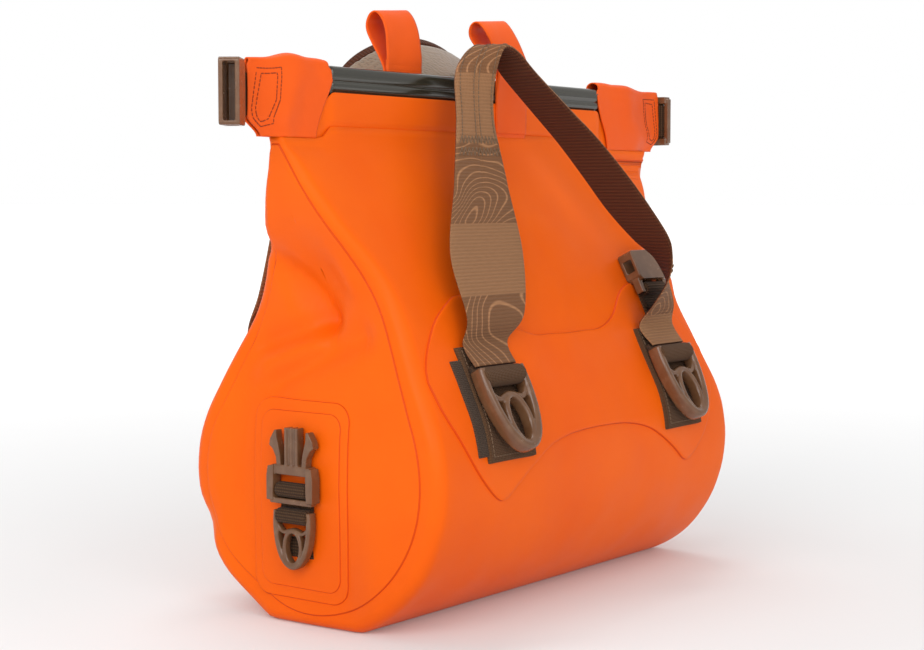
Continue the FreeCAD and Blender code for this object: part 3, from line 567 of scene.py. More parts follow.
def onto_shell(point, direction, lift):
    """A place over the bag's surface, which is met from well outside along a direction."""
    hit, normal, _, _ = tree.ray_cast(point - direction * 0.4, direction)
    if hit is None:
        hit, normal, _, _ = tree.find_nearest(point)
    if normal.dot(direction) > 0:
        normal = -normal
    return hit + normal * lift


# ------------------------------------------------------------------ welded pieces on the shell

def decal(name, rows_of, direction, material, lift, edge, rows, columns, under=-0.3 * MM, rim=WELD_EDGE_SHADE):
    """A sheet welded on the bag. rows_of(t) gives the two ends of a row, and the row is laid on the
    surface, lifted. A rim as wide as edge goes down from there to the height under."""
    plan = []
    for i in range(rows + 1):
        a, b = rows_of(i / rows)
        plan.append([a.lerp(b, j / columns) for j in range(columns + 1)])
    verts = [onto_shell(p, direction, lift) for row in plan for p in row]
    faces = grid_faces(rows + 1, columns + 1)
    width = columns + 1
    loop = [i * width for i in range(rows + 1)] + [rows * width + j for j in range(1, width)]
    loop += [i * width + columns for i in range(rows - 1, -1, -1)] + list(range(columns - 1, 0, -1))
    flat = [plan[k // width][k % width] for k in loop]
    keep = [k for k in range(len(loop)) if (flat[k] - flat[k - 1]).length > SAME_PLACE]
    loop, flat = [loop[k] for k in keep], [flat[k] for k in keep]
    count = len(loop)
    area = sum(flat[k].cross(flat[(k + 1) % count]).dot(direction) for k in range(count))
    turn = 1 if area > 0 else -1
    start = len(verts)
    for share, height in ((0.25, 0.85), (0.7, 0.35), (1.0, 0.0)):
        for k in range(count):
            tangent = flat[(k + 1) % count] - flat[k - 1]
            outward = tangent.cross(direction).normalized() * turn
            verts.append(onto_shell(flat[k] + outward * (edge * share), direction,
                                    under + (lift - under) * height))
    rings = [loop] + [[start + r * count + k for k in range(count)] for r in range(3)]
    skirt = len(faces)
    for inner, outer in zip(rings, rings[1:]):
        for k in range(count):
            n = (k + 1) % count
            faces.append((inner[k], inner[n], outer[n], outer[k]))
    obj = new_object(name, verts, faces, material)
    # the rim faces take the rim material; the default one is a darker orange, painted shade along the edge
    # step
    obj.data.materials.append(rim)
    for polygon in obj.data.polygons:
        polygon.material_index = 1 if polygon.index >= skirt else 0
    with editing(obj) as mesh:
        bmesh.ops.remove_doubles(mesh, verts=mesh.verts, dist=0.8 * SAME_PLACE)
        bmesh.ops.recalc_face_normals(mesh, faces=mesh.faces)
        if sum(f.normal.dot(direction) for f in mesh.faces) > 0:
            bmesh.ops.reverse_faces(mesh, faces=mesh.faces)
    return obj


def end_outline(scale, top):
    """Rows of the teardrop weld line of an end panel."""
    def rows_of(side):
        def row(t):
            low = AXIS_HEIGHT - BOTTOM_RADIUS * scale
            z = mix(low, top, 0.5 - 0.5 * math.cos(math.pi * t))
            switch = AXIS_HEIGHT + BOTTOM_RADIUS * scale * math.sin(SLOPE)
            if z < switch:
                half = math.sqrt(max((BOTTOM_RADIUS * scale) ** 2 - (z - AXIS_HEIGHT) ** 2, 0))
            else:
                wide = BOTTOM_RADIUS * scale * math.cos(SLOPE)
                half = wide - (wide - 2.5 * MM) * (z - switch) / (top - switch)
            x = side * HALF_LENGTH
            return Vector((x, -half, z)), Vector((x, half, z))
        return row
    return rows_of


def build_end_panels():
    for word, side in ENDS:
        rows_of = end_outline(0.85, PANEL_TOP - 3 * MM)(side)
        piece = decal("end_panel_cloth_" + word, rows_of, Vector((-side, 0, 0)), ORANGE, lift=1.0 * MM,
                      edge=0.9 * MM, rows=140, columns=90, under=-0.2 * MM)
        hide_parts("end_panel_" + word)
        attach(piece, "bag")


# half outline of the anchor patch in millimetres: x, lower edge, upper edge
PATCH_SPANS = [(0, 114, 173), (20, 113.5, 173.5), (38, 112, 174), (60, 107, 181), (80, 97, 195),
               (94, 88, 200.5), (104, 81, 201), (112, 80, 198), (126, 90, 190), (138, 104, 181),
               (150, 124, 169), (156, 138, 160), (158, 152, 153)]


def dog_bone(side):
    """Rows of the anchor patch, narrow in the middle and wide under the anchors."""
    lows = [(x, low) for x, low, high in PATCH_SPANS]
    highs = [(x, high) for x, low, high in PATCH_SPANS]
    reach = PATCH_SPANS[-1][0]

    def row(t):
        x = reach * math.sin(math.pi * (t - 0.5))
        depth = side * OUTLINE_DEPTH / MM
        return vec(x, depth, curve_value(lows, abs(x))), vec(x, depth, curve_value(highs, abs(x)))
    return row


def build_anchor_patches():
    for word, side in FACES:
        piece = decal(word + "_patch_cloth", dog_bone(side), Vector((0, -side, 0)), ORANGE,
                      lift=1.3 * MM, edge=0.7 * MM, rows=150, columns=44)
        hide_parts(word + "_patch")
        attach(piece, "bag")


def rounded_panel(side, shift, half, low, high, corner):
    """Rows of a rounded rectangle on an end, given in millimetres."""
    def row(t):
        z = mix(low, high, 0.5 - 0.5 * math.cos(math.pi * t))
        near = min(z - low, high - z)
        pull = corner - math.sqrt(max(corner ** 2 - max(corner - near, 0) ** 2, 0))
        width = half - pull
        return vec(side * 171, shift - width, z), vec(side * 171, shift + width, z)
    return row


def build_end_patches():
    for word, side in ENDS:
        middle = (patch_low.y + patch_high.y) / 2 / MM
        half = (patch_high.y - patch_low.y) / 2 / MM
        low, high = patch_low.z / MM, patch_high.z / MM
        direction = Vector((-side, 0, 0))
        outer = decal("end_patch_cloth_" + word, rounded_panel(side, middle, half, low, high, 12),
                      direction, ORANGE, lift=1.8 * MM, edge=0.6 * MM, rows=70, columns=50,
                      under=0.7 * MM)
        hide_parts("end_patch_" + word)
        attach(outer, "bag")
        inner = decal("end_patch_layer_" + word,
                      rounded_panel(side, middle, half - 6, low + 7, high - 7, 9),
                      direction, ORANGE, lift=2.4 * MM, edge=0.5 * MM, rows=60, columns=44,
                      under=1.8 * MM)
        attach(inner, "bag")


build_end_panels()
build_anchor_patches()
build_end_patches()

thicken(shell, 1.2 * MM)
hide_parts("main_panel")
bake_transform(shell)


# ------------------------------------------------------------------ straps and webbing

def smooth_stations(stations, steps):
    """Centres, width directions and half widths along a smooth line through the stations."""
    centres = [vec(*c) for c, across, half in stations]
    acrosses = [Vector(across).normalized() for c, across, half in stations]
    halves = [Vector((half * MM, 0, 0)) for c, across, half in stations]
    out = []
    for k in range(steps + 1):
        t = k / steps
        out.append((curve_point(centres, t), curve_point(acrosses, t).normalized(),
                    curve_point(halves, t).x))
    return out


def strap(name, stations, material, steps, columns, thickness, relief=None, back=None):
    """A band with round edges. thickness is a length, or a function of the share t of the band's
    length. relief(t, v), with v from -1 to 1 across the band, moves the outer face. back is the
    material of the other face and the edges."""
    level = thickness if callable(thickness) else lambda t: thickness
    relief = relief or (lambda t, v: 0.0)
    run = smooth_stations(stations, steps)
    lengths = [0.0]
    for (a, _, _), (b, _, _) in zip(run, run[1:]):
        lengths.append(lengths[-1] + (b - a).length)
    spread = [math.sin(math.pi / 2 * (2 * j / columns - 1)) for j in range(columns + 1)]
    verts, uvs = [], []
    for k, (centre, across, half) in enumerate(run):
        before, after = run[max(k - 1, 0)][0], run[min(k + 1, steps)][0]
        normal = across.cross(after - before).normalized()
        t = k / steps
        for face, order in ((1, spread), (-1, spread[-2:0:-1])):
            for v in order:
                edge = math.sqrt(max(1 - abs(v) ** 10, 0.0))
                rise = level(t) / 2 * edge
                rise += relief(t, v) if face > 0 else 0.0
                verts.append(centre + across * (half * v) + normal * (rise * face))
                uvs.append((lengths[k], half * v))
    ring = 2 * columns
    obj = new_object(name, verts, tube_faces(len(run), ring), material, uvs)
    recalc_normals(obj)
    if back is not None:
        obj.data.materials.append(back)
        top = set()
        for k in range(len(run)):
            top.update(range(k * ring, k * ring + columns + 1))
        for polygon in obj.data.polygons:
            polygon.material_index = 0 if all(i in top for i in polygon.vertices) else 1
    return obj


# rings of a stitch: share of its length, share of its radius
CAPSULE = [(-0.04, 0.35), (0.10, 0.9), (0.5, 1.0), (0.90, 0.9), (1.04, 0.35)]


def capsules(name, places, material, radius):
    """Stitches: one small capsule for each (start, end) pair."""
    verts, faces = [], []
    sides = 6
    for start, end in places:
        run = end - start
        if run.length < 1e-6:
            continue
        axis = run.normalized()
        side = axis.orthogonal().normalized()
        up = axis.cross(side)
        base = len(verts)
        for share, size in CAPSULE:
            for k in range(sides):
                a = 2 * math.pi * k / sides
                verts.append(start + run * share + (side * math.cos(a) + up * math.sin(a)) * radius * size)
        faces += tube_faces(len(CAPSULE), sides, base)
    return new_object(name, verts, faces, material)


def stitch_line(points, pitch, gap=0.28):
    """Split a line of points into stitches; gap is the share of the pitch between two of them."""
    out = []
    carry = 0.0
    start = None
    for a, b in zip(points, points[1:]):
        length = (b - a).length
        place = 0.0
        while place < length:
            if start is None:
                start = a.lerp(b, place / length)
            need = pitch * (1 - gap) - carry
            if place + need <= length:
                place += need
                out.append((start, a.lerp(b, place / length)))
                start = None
                place += pitch * gap
                carry = 0.0
            else:
                carry += length - place
                place = length
    return out


# ------------------------------------------------------------------ anchors, tag and patches' webbing

def strip_rows(x_low, x_high, z_low, z_high, side):
    """Rows of a straight strip on the front or the back."""
    def row(t):
        z = mix(z_low, z_high, t)
        return Vector((x_low, side * OUTLINE_DEPTH, z)), Vector((x_high, side * OUTLINE_DEPTH, z))
    return row


def on_face(x, z, side, lift):
    """A place over the front or the back."""
    return onto_shell(Vector((x, side * OUTLINE_DEPTH, z)), Vector((0, -side, 0)), lift)


def build_anchors():
    for face, side in FACES:
        for word in ("left", "right"):
            node = "%s_anchor_%s" % (face, word)
            low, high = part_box(node)
            rows_of = strip_rows(low.x, high.x, low.z, high.z, side)
            piece = decal(node + "_webbing", rows_of, Vector((0, -side, 0)), ROLL,
                          lift=3.9 * MM, edge=0.9 * MM, rows=60, columns=30, under=1.2 * MM, rim=ROLL)
            lay_uv(piece, 2, 0)
            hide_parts(node)
            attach(piece, "bag")
            inset, lift, pitch = 3.0 * MM, 4.0 * MM, 2.6 * MM
            left, right, foot = low.x + inset, high.x - inset, low.z + inset
            seams = []
            for x in (left, right):
                line = [on_face(x, mix(foot, high.z, k / 20), side, lift) for k in range(21)]
                seams += stitch_line(line, pitch)
            line = [on_face(mix(left, right, k / 12), foot, side, lift) for k in range(13)]
            seams += stitch_line(line, pitch)
            stitches = capsules(node + "_stitches", seams, STITCH_BROWN, 0.32 * MM)
            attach(stitches, "bag")
    low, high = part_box("side_tag")
    piece = decal("side_tag_cloth", strip_rows(low.x, high.x, low.z, high.z, -1), Vector((0, 1, 0)),
                  TAG, lift=2.7 * MM, edge=0.6 * MM, rows=60, columns=14, under=1.2 * MM, rim=TAG)
    lay_uv(piece, 2, 0)
    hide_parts("side_tag")
    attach(piece, "bag")


def lay_uv(obj, along, across):
    """Cloth coordinates in metres from two of the object's axes."""
    layer = obj.data.uv_layers.get("Cloth") or obj.data.uv_layers.new(name="Cloth")
    for loop in obj.data.loops:
        co = obj.data.vertices[loop.vertex_index].co
        layer.data[loop.index].uv = (co[along], co[across])


build_anchors()


# ------------------------------------------------------------------ webbing wraps round bars

def wrap(name, node, centre, along, up, outward, radius, half_width, tail, material=ROLL):
    """Webbing turned round a bar: a full roll in front, and its doubled tail flat behind it."""
    points = [(tail, -radius * 0.55), (radius * 1.45, -radius * 0.5), (radius * 1.12, -radius * 0.36)]
    for k in range(23):
        a = math.radians(-12 + 278 * k / 22)
        points.append((radius * math.cos(a), radius * math.sin(a)))
    points += [(0.1 * radius, -radius * 0.985), (tail, -radius * 0.985)]
    verts, uvs = [], []
    columns = 16
    for j in range(columns + 1):
        v = math.sin(math.pi / 2 * (2 * j / columns - 1))
        pull = (1 - math.sqrt(max(1 - abs(v) ** 14, 0.0))) * 0.16 * radius
        run = 0.0
        for k, (u, w) in enumerate(points):
            scale = 1 - pull / radius
            verts.append(centre + along * (half_width * v) + up * (u * scale) + outward * (w * scale))
            if k:
                run += math.hypot(u - points[k - 1][0], w - points[k - 1][1])
            uvs.append((run, half_width * v))
    obj = new_object(name, verts, tube_faces(columns + 1, len(points)), material, uvs)
    recalc_normals(obj)
    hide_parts(node)
    return obj


def centre_of(node):
    low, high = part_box(node)
    return (low + high) / 2


def node_axis(node, index):
    """The middle of a node, and half its length along an axis."""
    low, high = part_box(node)
    return centre_of(node), (high - low)[index] / 2


def build_wraps():
    for face, side, lean in (("front", -1, SLOPE), ("rear", 1, SLOPE * 0.8)):
        for word in ("left", "right"):
            node = "%s_roll_%s" % (face, word)
            centre, half = node_axis(node, 0)
            up = Vector((0, -side * math.sin(lean), math.cos(lean)))
            outward = Vector((0, side * math.cos(lean), math.sin(lean)))
            piece = wrap(node + "_webbing", node, centre, Vector((1, 0, 0)), up, outward, 6.5 * MM,
                         half, 10 * MM)
            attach(piece, "bag")
    for node, up_sign, tail in (("end_ring_roll_left", 1, 11), ("end_ring_roll_right", 1, 11),
                                ("end_buckle_roll_left", -1, 9), ("end_buckle_roll_right", -1, 9)):
        centre, half = node_axis(node, 1)
        side = 1 if centre.x > 0 else -1
        piece = wrap(node + "_webbing", node, centre, Vector((0, 1, 0)), Vector((0, 0, up_sign)),
                     Vector((side, 0, 0)), 4.8 * MM, half, tail * MM, NARROW)
        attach(piece, "bag")
    centre, half = node_axis("front_buckle_roll", 0)
    up = Vector((0, math.sin(SLOPE), math.cos(SLOPE)))
    outward = Vector((0, -math.cos(SLOPE), math.sin(SLOPE)))
    piece = wrap("front_buckle_roll_webbing", "front_buckle_roll", centre, Vector((1, 0, 0)), -up, outward,
                 4.8 * MM, half, 14 * MM, NARROW)
    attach(piece, "bag")
    for word, side in ENDS:
        node = "closure_roll_" + word
        centre, half = node_axis(node, 2)
        piece = wrap(node + "_webbing", node, centre, Vector((0, 0, 1)), Vector((-side, 0, 0)),
                     Vector((0, -1, 0)), 4.8 * MM, half, 9 * MM, NARROW)
        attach(piece, "closure")


build_wraps()


def narrow_strip(node, along, across, steps, columns):
    """A ribbed strip through the middle of a node, along one of the axes and as wide as the other."""
    low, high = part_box(node)
    first, last = low[along], high[along]
    stations = []
    for place in (first, mix(first, last, 0.33), mix(first, last, 0.66), last):
        middle = [c / MM for c in centre_of(node)]
        middle[along] = place / MM
        width = [0, 0, 0]
        width[across] = 1
        stations.append((middle, width, (high[across] - low[across]) / 2 / MM))
    return strap(node + "_strip", stations, NARROW, steps, columns, 1.5 * MM)


def build_end_webbing():
    """Ribbed strip on each end patch, and the one under the front buckle."""
    for word in ("left", "right"):
        node = "end_webbing_" + word
        piece = narrow_strip(node, 2, 1, 40, 20)
        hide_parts(node)
        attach(piece, "bag")
    low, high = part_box("front_buckle_webbing")
    piece = decal("front_buckle_strip", strip_rows(low.x, high.x, low.z, high.z, -1), Vector((0, 1, 0)),
                  NARROW, lift=2.9 * MM, edge=0.7 * MM, rows=40, columns=24, under=0.6 * MM, rim=NARROW)
    lay_uv(piece, 2, 0)
    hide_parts("front_buckle_webbing")
    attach(piece, "bag")


build_end_webbing()


# ------------------------------------------------------------------ moulded hardware

def body_of(node):
    """The moving body that a node belongs to."""
    for body, names in frame["record"]["behaviour"]["bodies"].items():
        if node in names:
            return body
    return "bag"


class Axes:
    """A place on a moulding: across u, along v and outwards w, in millimetres."""

    def __init__(self, origin, u, v):
        self.origin = origin
        self.u = Vector(u).normalized()
        self.v = Vector(v).normalized()
        self.w = self.u.cross(self.v)

    def at(self, u, v, w=0.0):
        return self.origin + (self.u * u + self.v * v + self.w * w) * MM


def stroke(axes, points, half_width, half_depth, samples, closed=False):
    """A bar with an oval section along a smooth line of (u, v) points."""
    run = [Vector((u, v, 0)) for u, v in points]
    places = [curve_point(run, k / samples) for k in range(samples + 1)]
    if closed:
        places = places[:-1]
    count = len(places)
    verts = []
    sides = 12
    for k, place in enumerate(places):
        before = places[(k - 1) % count] if closed or k else place
        after = places[(k + 1) % count] if closed or k < count - 1 else place
        tangent = (after - before).normalized()
        side = Vector((-tangent.y, tangent.x, 0))
        for j in range(sides):
            a = 2 * math.pi * j / sides
            c, d = math.cos(a), math.sin(a)
            c = math.copysign(abs(c) ** 0.6, c) * half_width
            d = math.copysign(abs(d) ** 0.6, d) * half_depth
            q = place + side * c
            verts.append(axes.at(q.x, q.y, d))
    return verts, grid_faces(count, sides, True, True) if closed else tube_faces(count, sides)


def plate(axes, outline, low, high):
    """A flat piece with a straight-sided outline of (u, v) points between two depths."""
    verts = [axes.at(u, v, low) for u, v in outline] + [axes.at(u, v, high) for u, v in outline]
    count = len(outline)
    faces = [tuple(reversed(range(count))), tuple(range(count, 2 * count))]
    faces += [(k, (k + 1) % count, count + (k + 1) % count, count + k) for k in range(count)]
    return verts, faces


def moulding(name, node, solids, voxel, rounds):
    """Melt overlapping solids into one piece and round every edge. voxel is in millimetres."""
    verts, faces = [], []
    for more_verts, more_faces in solids:
        base = len(verts)
        verts += more_verts
        faces += [tuple(base + i for i in face) for face in more_faces]
    obj = new_object(name, verts, faces, None)
    recalc_normals(obj)
    remesh = obj.modifiers.new("Melt", "REMESH")
    remesh.mode = "VOXEL"
    remesh.voxel_size = voxel * MM
    remesh.use_smooth_shade = True
    rounding = obj.modifiers.new("Round", "SMOOTH")
    rounding.factor = 0.5
    rounding.iterations = rounds
    apply_modifiers(obj)
    obj.data.materials.clear()
    obj.data.materials.append(PLASTIC)
    obj.data.polygons.foreach_set("use_smooth", [True] * len(obj.data.polygons))
    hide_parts(node)
    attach(obj, body_of(node))
    return obj


def mirrored(points):
    return points + [(-u, v) for u, v in reversed(points[:-1])]


def dee_ring(node, axes, size):
    """Ring with a webbing bar, a gull-wing bridge, a round eye and two side slots."""
    def scaled(points):
        return [(u * size, v * size) for u, v in points]
    frame_line = mirrored(scaled([(-19.6, -5), (-20.2, 4), (-19.8, 14), (-17.6, 26), (-13.2, 37), (-7, 44),
                                  (0, 46.4)]))
    bridge = mirrored(scaled([(-19.5, 8), (-15.5, 13), (-11, 15.2), (-5.5, 13.6), (0, 12.4)]))
    eye = [(10.0 * size * math.sin(a), (29.0 - 15.6 * math.cos(a)) * size)
           for a in [2 * math.pi * k / 16 for k in range(17)]]
    solids = [stroke(axes, frame_line, 2.9 * size, 5.2 * size, 60),
              stroke(axes, bridge, 2.0 * size, 3.4 * size, 40),
              stroke(axes, eye, 2.3 * size, 4.3 * size, 48, True),
              stroke(axes, scaled([(-19.5, 0), (0, 0), (19.5, 0)]), 2.3, 2.3, 8)]
    return moulding(node + "_moulded", node, solids, 0.6 if size > 0.9 else 0.45, 4)


def build_rings():
    for face, side, lean in (("front", -1, SLOPE), ("rear", 1, math.radians(18))):
        for word in ("left", "right"):
            centre = centre_of("%s_roll_%s" % (face, word))
            down = Vector((0, side * math.sin(lean), -math.cos(lean)))
            dee_ring("%s_ring_%s" % (face, word), Axes(centre, (-side, 0, 0), down), 1.0)
    for word, side in ENDS:
        centre = centre_of("end_ring_roll_" + word)
        node = "end_ring_" + word
        low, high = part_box(node)
        size = (centre.z - low.z) / (49.5 * MM)
        dee_ring(node, Axes(centre, (0, -side, 0), (0, 0, -1)), size)


PRONG = [(8.2, 12), (11.8, 12), (12.4, 20), (15.2, 25), (18.0, 27), (17.2, 31), (13.6, 36.6), (12.2, 36.6),
         (11.8, 31), (10.6, 27.5), (9.0, 21)]


def male_buckle(frame_node, prong_nodes, axes):
    """Frame and grooved tongue of the male half, with its two springy prongs."""
    solids = []
    for turn in (-1, 1):
        outline = [(turn * 13.6, -6.5), (turn * 18.6, -6.5), (turn * 18.8, 8), (turn * 17.6, 14.5),
                   (turn * 13.0, 15.5)]
        solids.append(plate(axes, outline, -2.6, 5.0))
    solids.append(plate(axes, [(-17, -8.4), (17, -8.4), (17, -5.0), (-17, -5.0)], -1.4, 3.6))
    solids.append(plate(axes, [(-17, 9.5), (17, 9.5), (15, 15.5), (-15, 15.5)], -2.8, 3.4))
    solids.append(stroke(axes, [(-16, 0), (0, 0), (16, 0)], 2.2, 2.2, 8))
    for u in (-4.3, 0.0, 4.3):
        solids.append(stroke(axes, [(u, 13), (u, 24), (u, 38.5)], 1.25, 3.6, 10))
    solids.append(plate(axes, [(-4.8, 13), (4.8, 13), (4.8, 38), (-4.8, 38)], -2.4, 1.9))
    moulding(frame_node + "_moulded", frame_node, solids, 0.45, 3)
    for node, turn in zip(prong_nodes, (1, -1)):
        outline = [(turn * u, v) for u, v in PRONG]
        moulding(node + "_moulded", node, [plate(axes, outline, -2.7, 3.1)], 0.4, 3)


def build_hardware():
    build_rings()
    axes = Axes(centre_of("end_buckle_roll_left"), (0, 1, 0), (0, 0, 1))
    axes.w = Vector((-1, 0, 0))             # away from the bag
    prongs = sorted(("end_prong_front", "end_prong_rear"), key=lambda node: -centre_of(node).y)
    male_buckle("end_male_buckle", prongs, axes)
    centre = centre_of("closure_roll_right")
    reach = centre_of("closure_prong_upper") - centre
    male_buckle("closure_male_buckle", ("closure_prong_upper", "closure_prong_lower"),
                Axes(centre, (0, 0, 1), (reach.x, reach.y, 0)))
    for node in ("end_female_buckle", "front_female_buckle", "closure_female_buckle"):
        source = nodes[node].data
        verts = [v.co.copy() for v in source.vertices]
        faces = [tuple(p.vertices) for p in source.polygons]
        moulding(node + "_moulded", node, [(verts, faces)], 0.4, 9)


build_hardware()


# ------------------------------------------------------------------ closure: rails, header, tabs, loops

def flat_cloth(name, at, rows, columns, material, thickness):
    """A sheet from at(u, v), with u and v from 0 to 1, given its thickness."""
    verts, uvs = [], []
    for i in range(rows + 1):
        for j in range(columns + 1):
            p = at(j / columns, i / rows)
            verts.append(p)
            uvs.append((p.x, p.z))
    obj = new_object(name, verts, grid_faces(rows + 1, columns + 1), material, uvs)
    return thicken(obj, thickness, 0.0)


def build_headers():
    """The two cloth strips that carry the seal, from inside the shell up to behind the rails."""
    for word, side in FACES:
        node = "header_" + word
        low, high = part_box(node)
        out = max(abs(low.y), abs(high.y)) - 0.6 * MM

        def at(u, v):
            x = mix(low.x - 17 * MM, high.x + 17 * MM, u)
            z = mix(PANEL_TOP - 2 * MM, high.z - 1 * MM, v)
            ends = smooth(low.x + 2 * MM, low.x - 8 * MM, x) + smooth(high.x - 2 * MM, high.x + 8 * MM, x)
            wave = noise.noise(Vector((x * 14, side * 3.0, z * 26))) * 0.9 * MM
            wave *= smooth(0.0, 0.4, v) * smooth(1.0, 0.75, v)
            inside = max(slope_depth(z), TOP_HALF_DEPTH) - 1.9 * MM
            depth = mix(inside, out, smooth(SHELL_TOP - 3 * MM, SHELL_TOP + 4 * MM, z))
            depth = mix(depth, min(depth, 3.6 * MM), ends)
            top = mix(0.0, 7.0 * MM, ends) * smooth(0.6, 1.0, v)
            return Vector((x, side * (depth + wave * (1 - ends)), z - top))
        piece = flat_cloth(node + "_cloth", at, 30, 150, ORANGE, 1.0 * MM)
        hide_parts(node)
        if word == "front":
            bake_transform(piece)
        else:
            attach(piece, "closure")


def build_tabs():
    """Tabs of the closure: soft fabric folded over its end, with the sewn box of the webbing."""
    for word, side in ENDS:
        node = "closure_tab_" + word
        low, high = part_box(node)
        inner = min(abs(low.x), abs(high.x))
        outer = max(abs(low.x), abs(high.x))
        half = high.y
        height = high.z - low.z
        rows, columns, turns = 44, 60, 10

        def place(u, v, turn):
            """u runs from the rail outwards, v upwards; turn goes from -1 (front) to 1 (back)."""
            x_in = inner - 2.5 * MM + 15 * MM * smooth(0.92, 0.0, v) - 4 * MM * smooth(0.86, 1.0, v)
            x_in += 7 * MM * smooth(0.90, 1.0, v)
            x_out = outer - 11 * MM * smooth(0.27, 0.0, v) - 1.5 * MM * smooth(0.92, 1.0, v)
            x = mix(x_in, x_out, u)
            z = low.z + height * v
            z += (0.7 * math.sin(u * 6 + side) + 0.4 * math.sin(u * 15)) * MM * smooth(0.7, 1.0, v)
            swell = (half - 0.9 * MM) * mix(1.0, 0.30, smooth(0.45, 1.0, u))
            swell *= mix(mix(0.9, 0.55, u), 1.0, smooth(0.0, 0.35, v)) * mix(1.0, 0.82, smooth(0.8, 1.0, v))
            ripple = noise.noise(Vector((x * 26, z * 22, turn * 2.0 + side))) * 1.1 * MM
            ripple += noise.noise(Vector((x * 70, z * 60, turn * 3.0))) * 0.4 * MM
            band = hump(u - 0.40 - 0.18 * (1 - v), 0, 0.13) * 1.1 * MM
            y = max(swell + ripple + band, 1.0 * MM)
            return Vector((side * x, turn * y, z))
        verts, uvs = [], []
        for i in range(2 * rows + turns + 1):
            v = min(i / rows, 1.0) if i <= rows + turns / 2 else min((2 * rows + turns - i) / rows, 1.0)
            turn = -1.0 if i <= rows else min(-1.0 + 2.0 * (i - rows) / turns, 1.0)
            for j in range(columns + 1):
                p = place(j / columns, v, -1 if turn < 0 else 1)
                if -1 < turn < 1:
                    q = place(j / columns, 1.0, -1)
                    r = place(j / columns, 1.0, 1)
                    p = q.lerp(r, (turn + 1) / 2)
                    p.y = mix(q.y, r.y, 0.5 + 0.5 * math.sin(math.pi / 2 * turn))
                    p.z += 0.8 * (r.y - q.y) / 2 * math.cos(math.pi / 2 * turn)
                verts.append(p)
                uvs.append((p.x, p.z))
        obj = new_object(node + "_fabric", verts, grid_faces(2 * rows + turns + 1, columns + 1),
                         ORANGE_TAB, uvs)
        recalc_normals(obj)
        thicken(obj, 0.9 * MM, 0.0)
        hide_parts(node)
        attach(obj, "closure")
        # the sewn pentagon over the webbing, front and back, in two rows of stitches
        seams = []
        for face in (-1, 1):
            for inset in (0.0, 3.2):
                corners = []
                for a, b in ((4, 38), (22, 39), (22, 20), (17, 6), (3, 4), (0.5, 14), (4, 38)):
                    x_off = a + (inset if a < 12 else -inset * 0.9)
                    z_off = b + (inset * 0.8 if b < 12 else -inset if b > 30 else 0)
                    corners.append((x_off, z_off))
                line = []
                for (a0, b0), (a1, b1) in zip(corners, corners[1:]):
                    line += [(mix(a0, a1, k / 8), mix(b0, b1, k / 8)) for k in range(8)]
                line.append(corners[-1])
                points = []
                for a, b in line:
                    v = (b + 1.5) * MM / height
                    u = 1 - (a + 2.5) * MM / (outer - inner)
                    spot = place(u, v, face)
                    points.append(spot + Vector((0, face * 0.55 * MM, 0)))
                seams += stitch_line(points, 2.7 * MM)
        stitches = capsules("tab_stitches_" + word, seams, STITCH_DARK, 0.34 * MM)
        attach(stitches, "closure")


build_headers()
build_tabs()


def build_closure_webbing():
    """Ribbed strip between each tab and its roll."""
    for word in ("left", "right"):
        node = "closure_webbing_" + word
        piece = narrow_strip(node, 0, 2, 24, 16)
        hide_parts(node)
        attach(piece, "closure")


build_closure_webbing()


def build_loops():
    """Pull loops: a folded band of the bag's own fabric, open at the top and flopping backwards."""
    for word, side, body, shift, lean_x, lean_y in (("rear", 1, "closure", 8, -6, 6),
                                                    ("front", -1, "front_seal", 1, -10, 13)):
        node = "pull_loop_" + word
        low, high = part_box(node)
        half = (high.x - low.x) / 2 - 1.0 * MM
        middle_x = (low.x + high.x) / 2 + shift * MM
        middle_y = (low.y + high.y) / 2
        radius = ((high.y - low.y) / 2 - 0.7 * MM) / MM
        neck = CLOSURE_TOP + 2 * MM
        top = high.z - 2.5 * MM
        foot, near = low.z, -1.0
        if word == "front":
            # its foot stays against the inside of the header
            foot = SHELL_TOP - 2 * MM
            near = (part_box("header_front")[0].y + 0.3 * MM - middle_y) / MM
        # depth from the middle in millimetres, and height
        path = [(near + 0.4, foot), (near - 0.5, foot + 7 * MM), (near - 0.9, foot + 20 * MM)]
        path += [(depth, mix(neck, top, share)) for depth, share in (
            (-1.0, 0.0), (-4.5, 0.35), (-radius * 0.98, 0.66), (-radius * 0.86, 0.87),
            (-radius * 0.25, 1.0), (radius * 0.45, 0.95), (radius * 0.95, 0.74), (radius * 0.8, 0.48),
            (3.2, 0.2), (1.0, 0.0))]
        path += [(1.0, mix(low.z, neck, 0.5)), (1.0, low.z)]
        points = [Vector((0, middle_y + y * MM, z)) for y, z in path]

        def at(u, v):
            p = curve_point(points, v)
            across = 2 * u - 1
            rise = smooth(neck, top, p.z)
            wave = noise.noise(Vector((across * 1.1, p.z * 26, side * 4.0))) * 0.8 * MM
            return Vector((middle_x + half * across + lean_x * MM * rise,
                           p.y + wave + (lean_y * rise + 1.6 * across * rise) * MM,
                           p.z + 1.6 * MM * across * rise))
        obj = flat_cloth(node + "_band", at, 130, 20, ORANGE_TAB, 1.0 * MM)
        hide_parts(node)
        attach(obj, body)


build_loops()


# ------------------------------------------------------------------ handle, shoulder strap and pad

def foot_of(anchor, side):
    """Depth and height of the strap foot over an anchor, as the CAD sews it."""
    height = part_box(anchor)[1].z + 2.5 * MM
    depth = slope_depth(height, BOTTOM_RADIUS + 1.5 * MM + 0.8 * 2.4 * MM)
    return side * depth / MM, height / MM


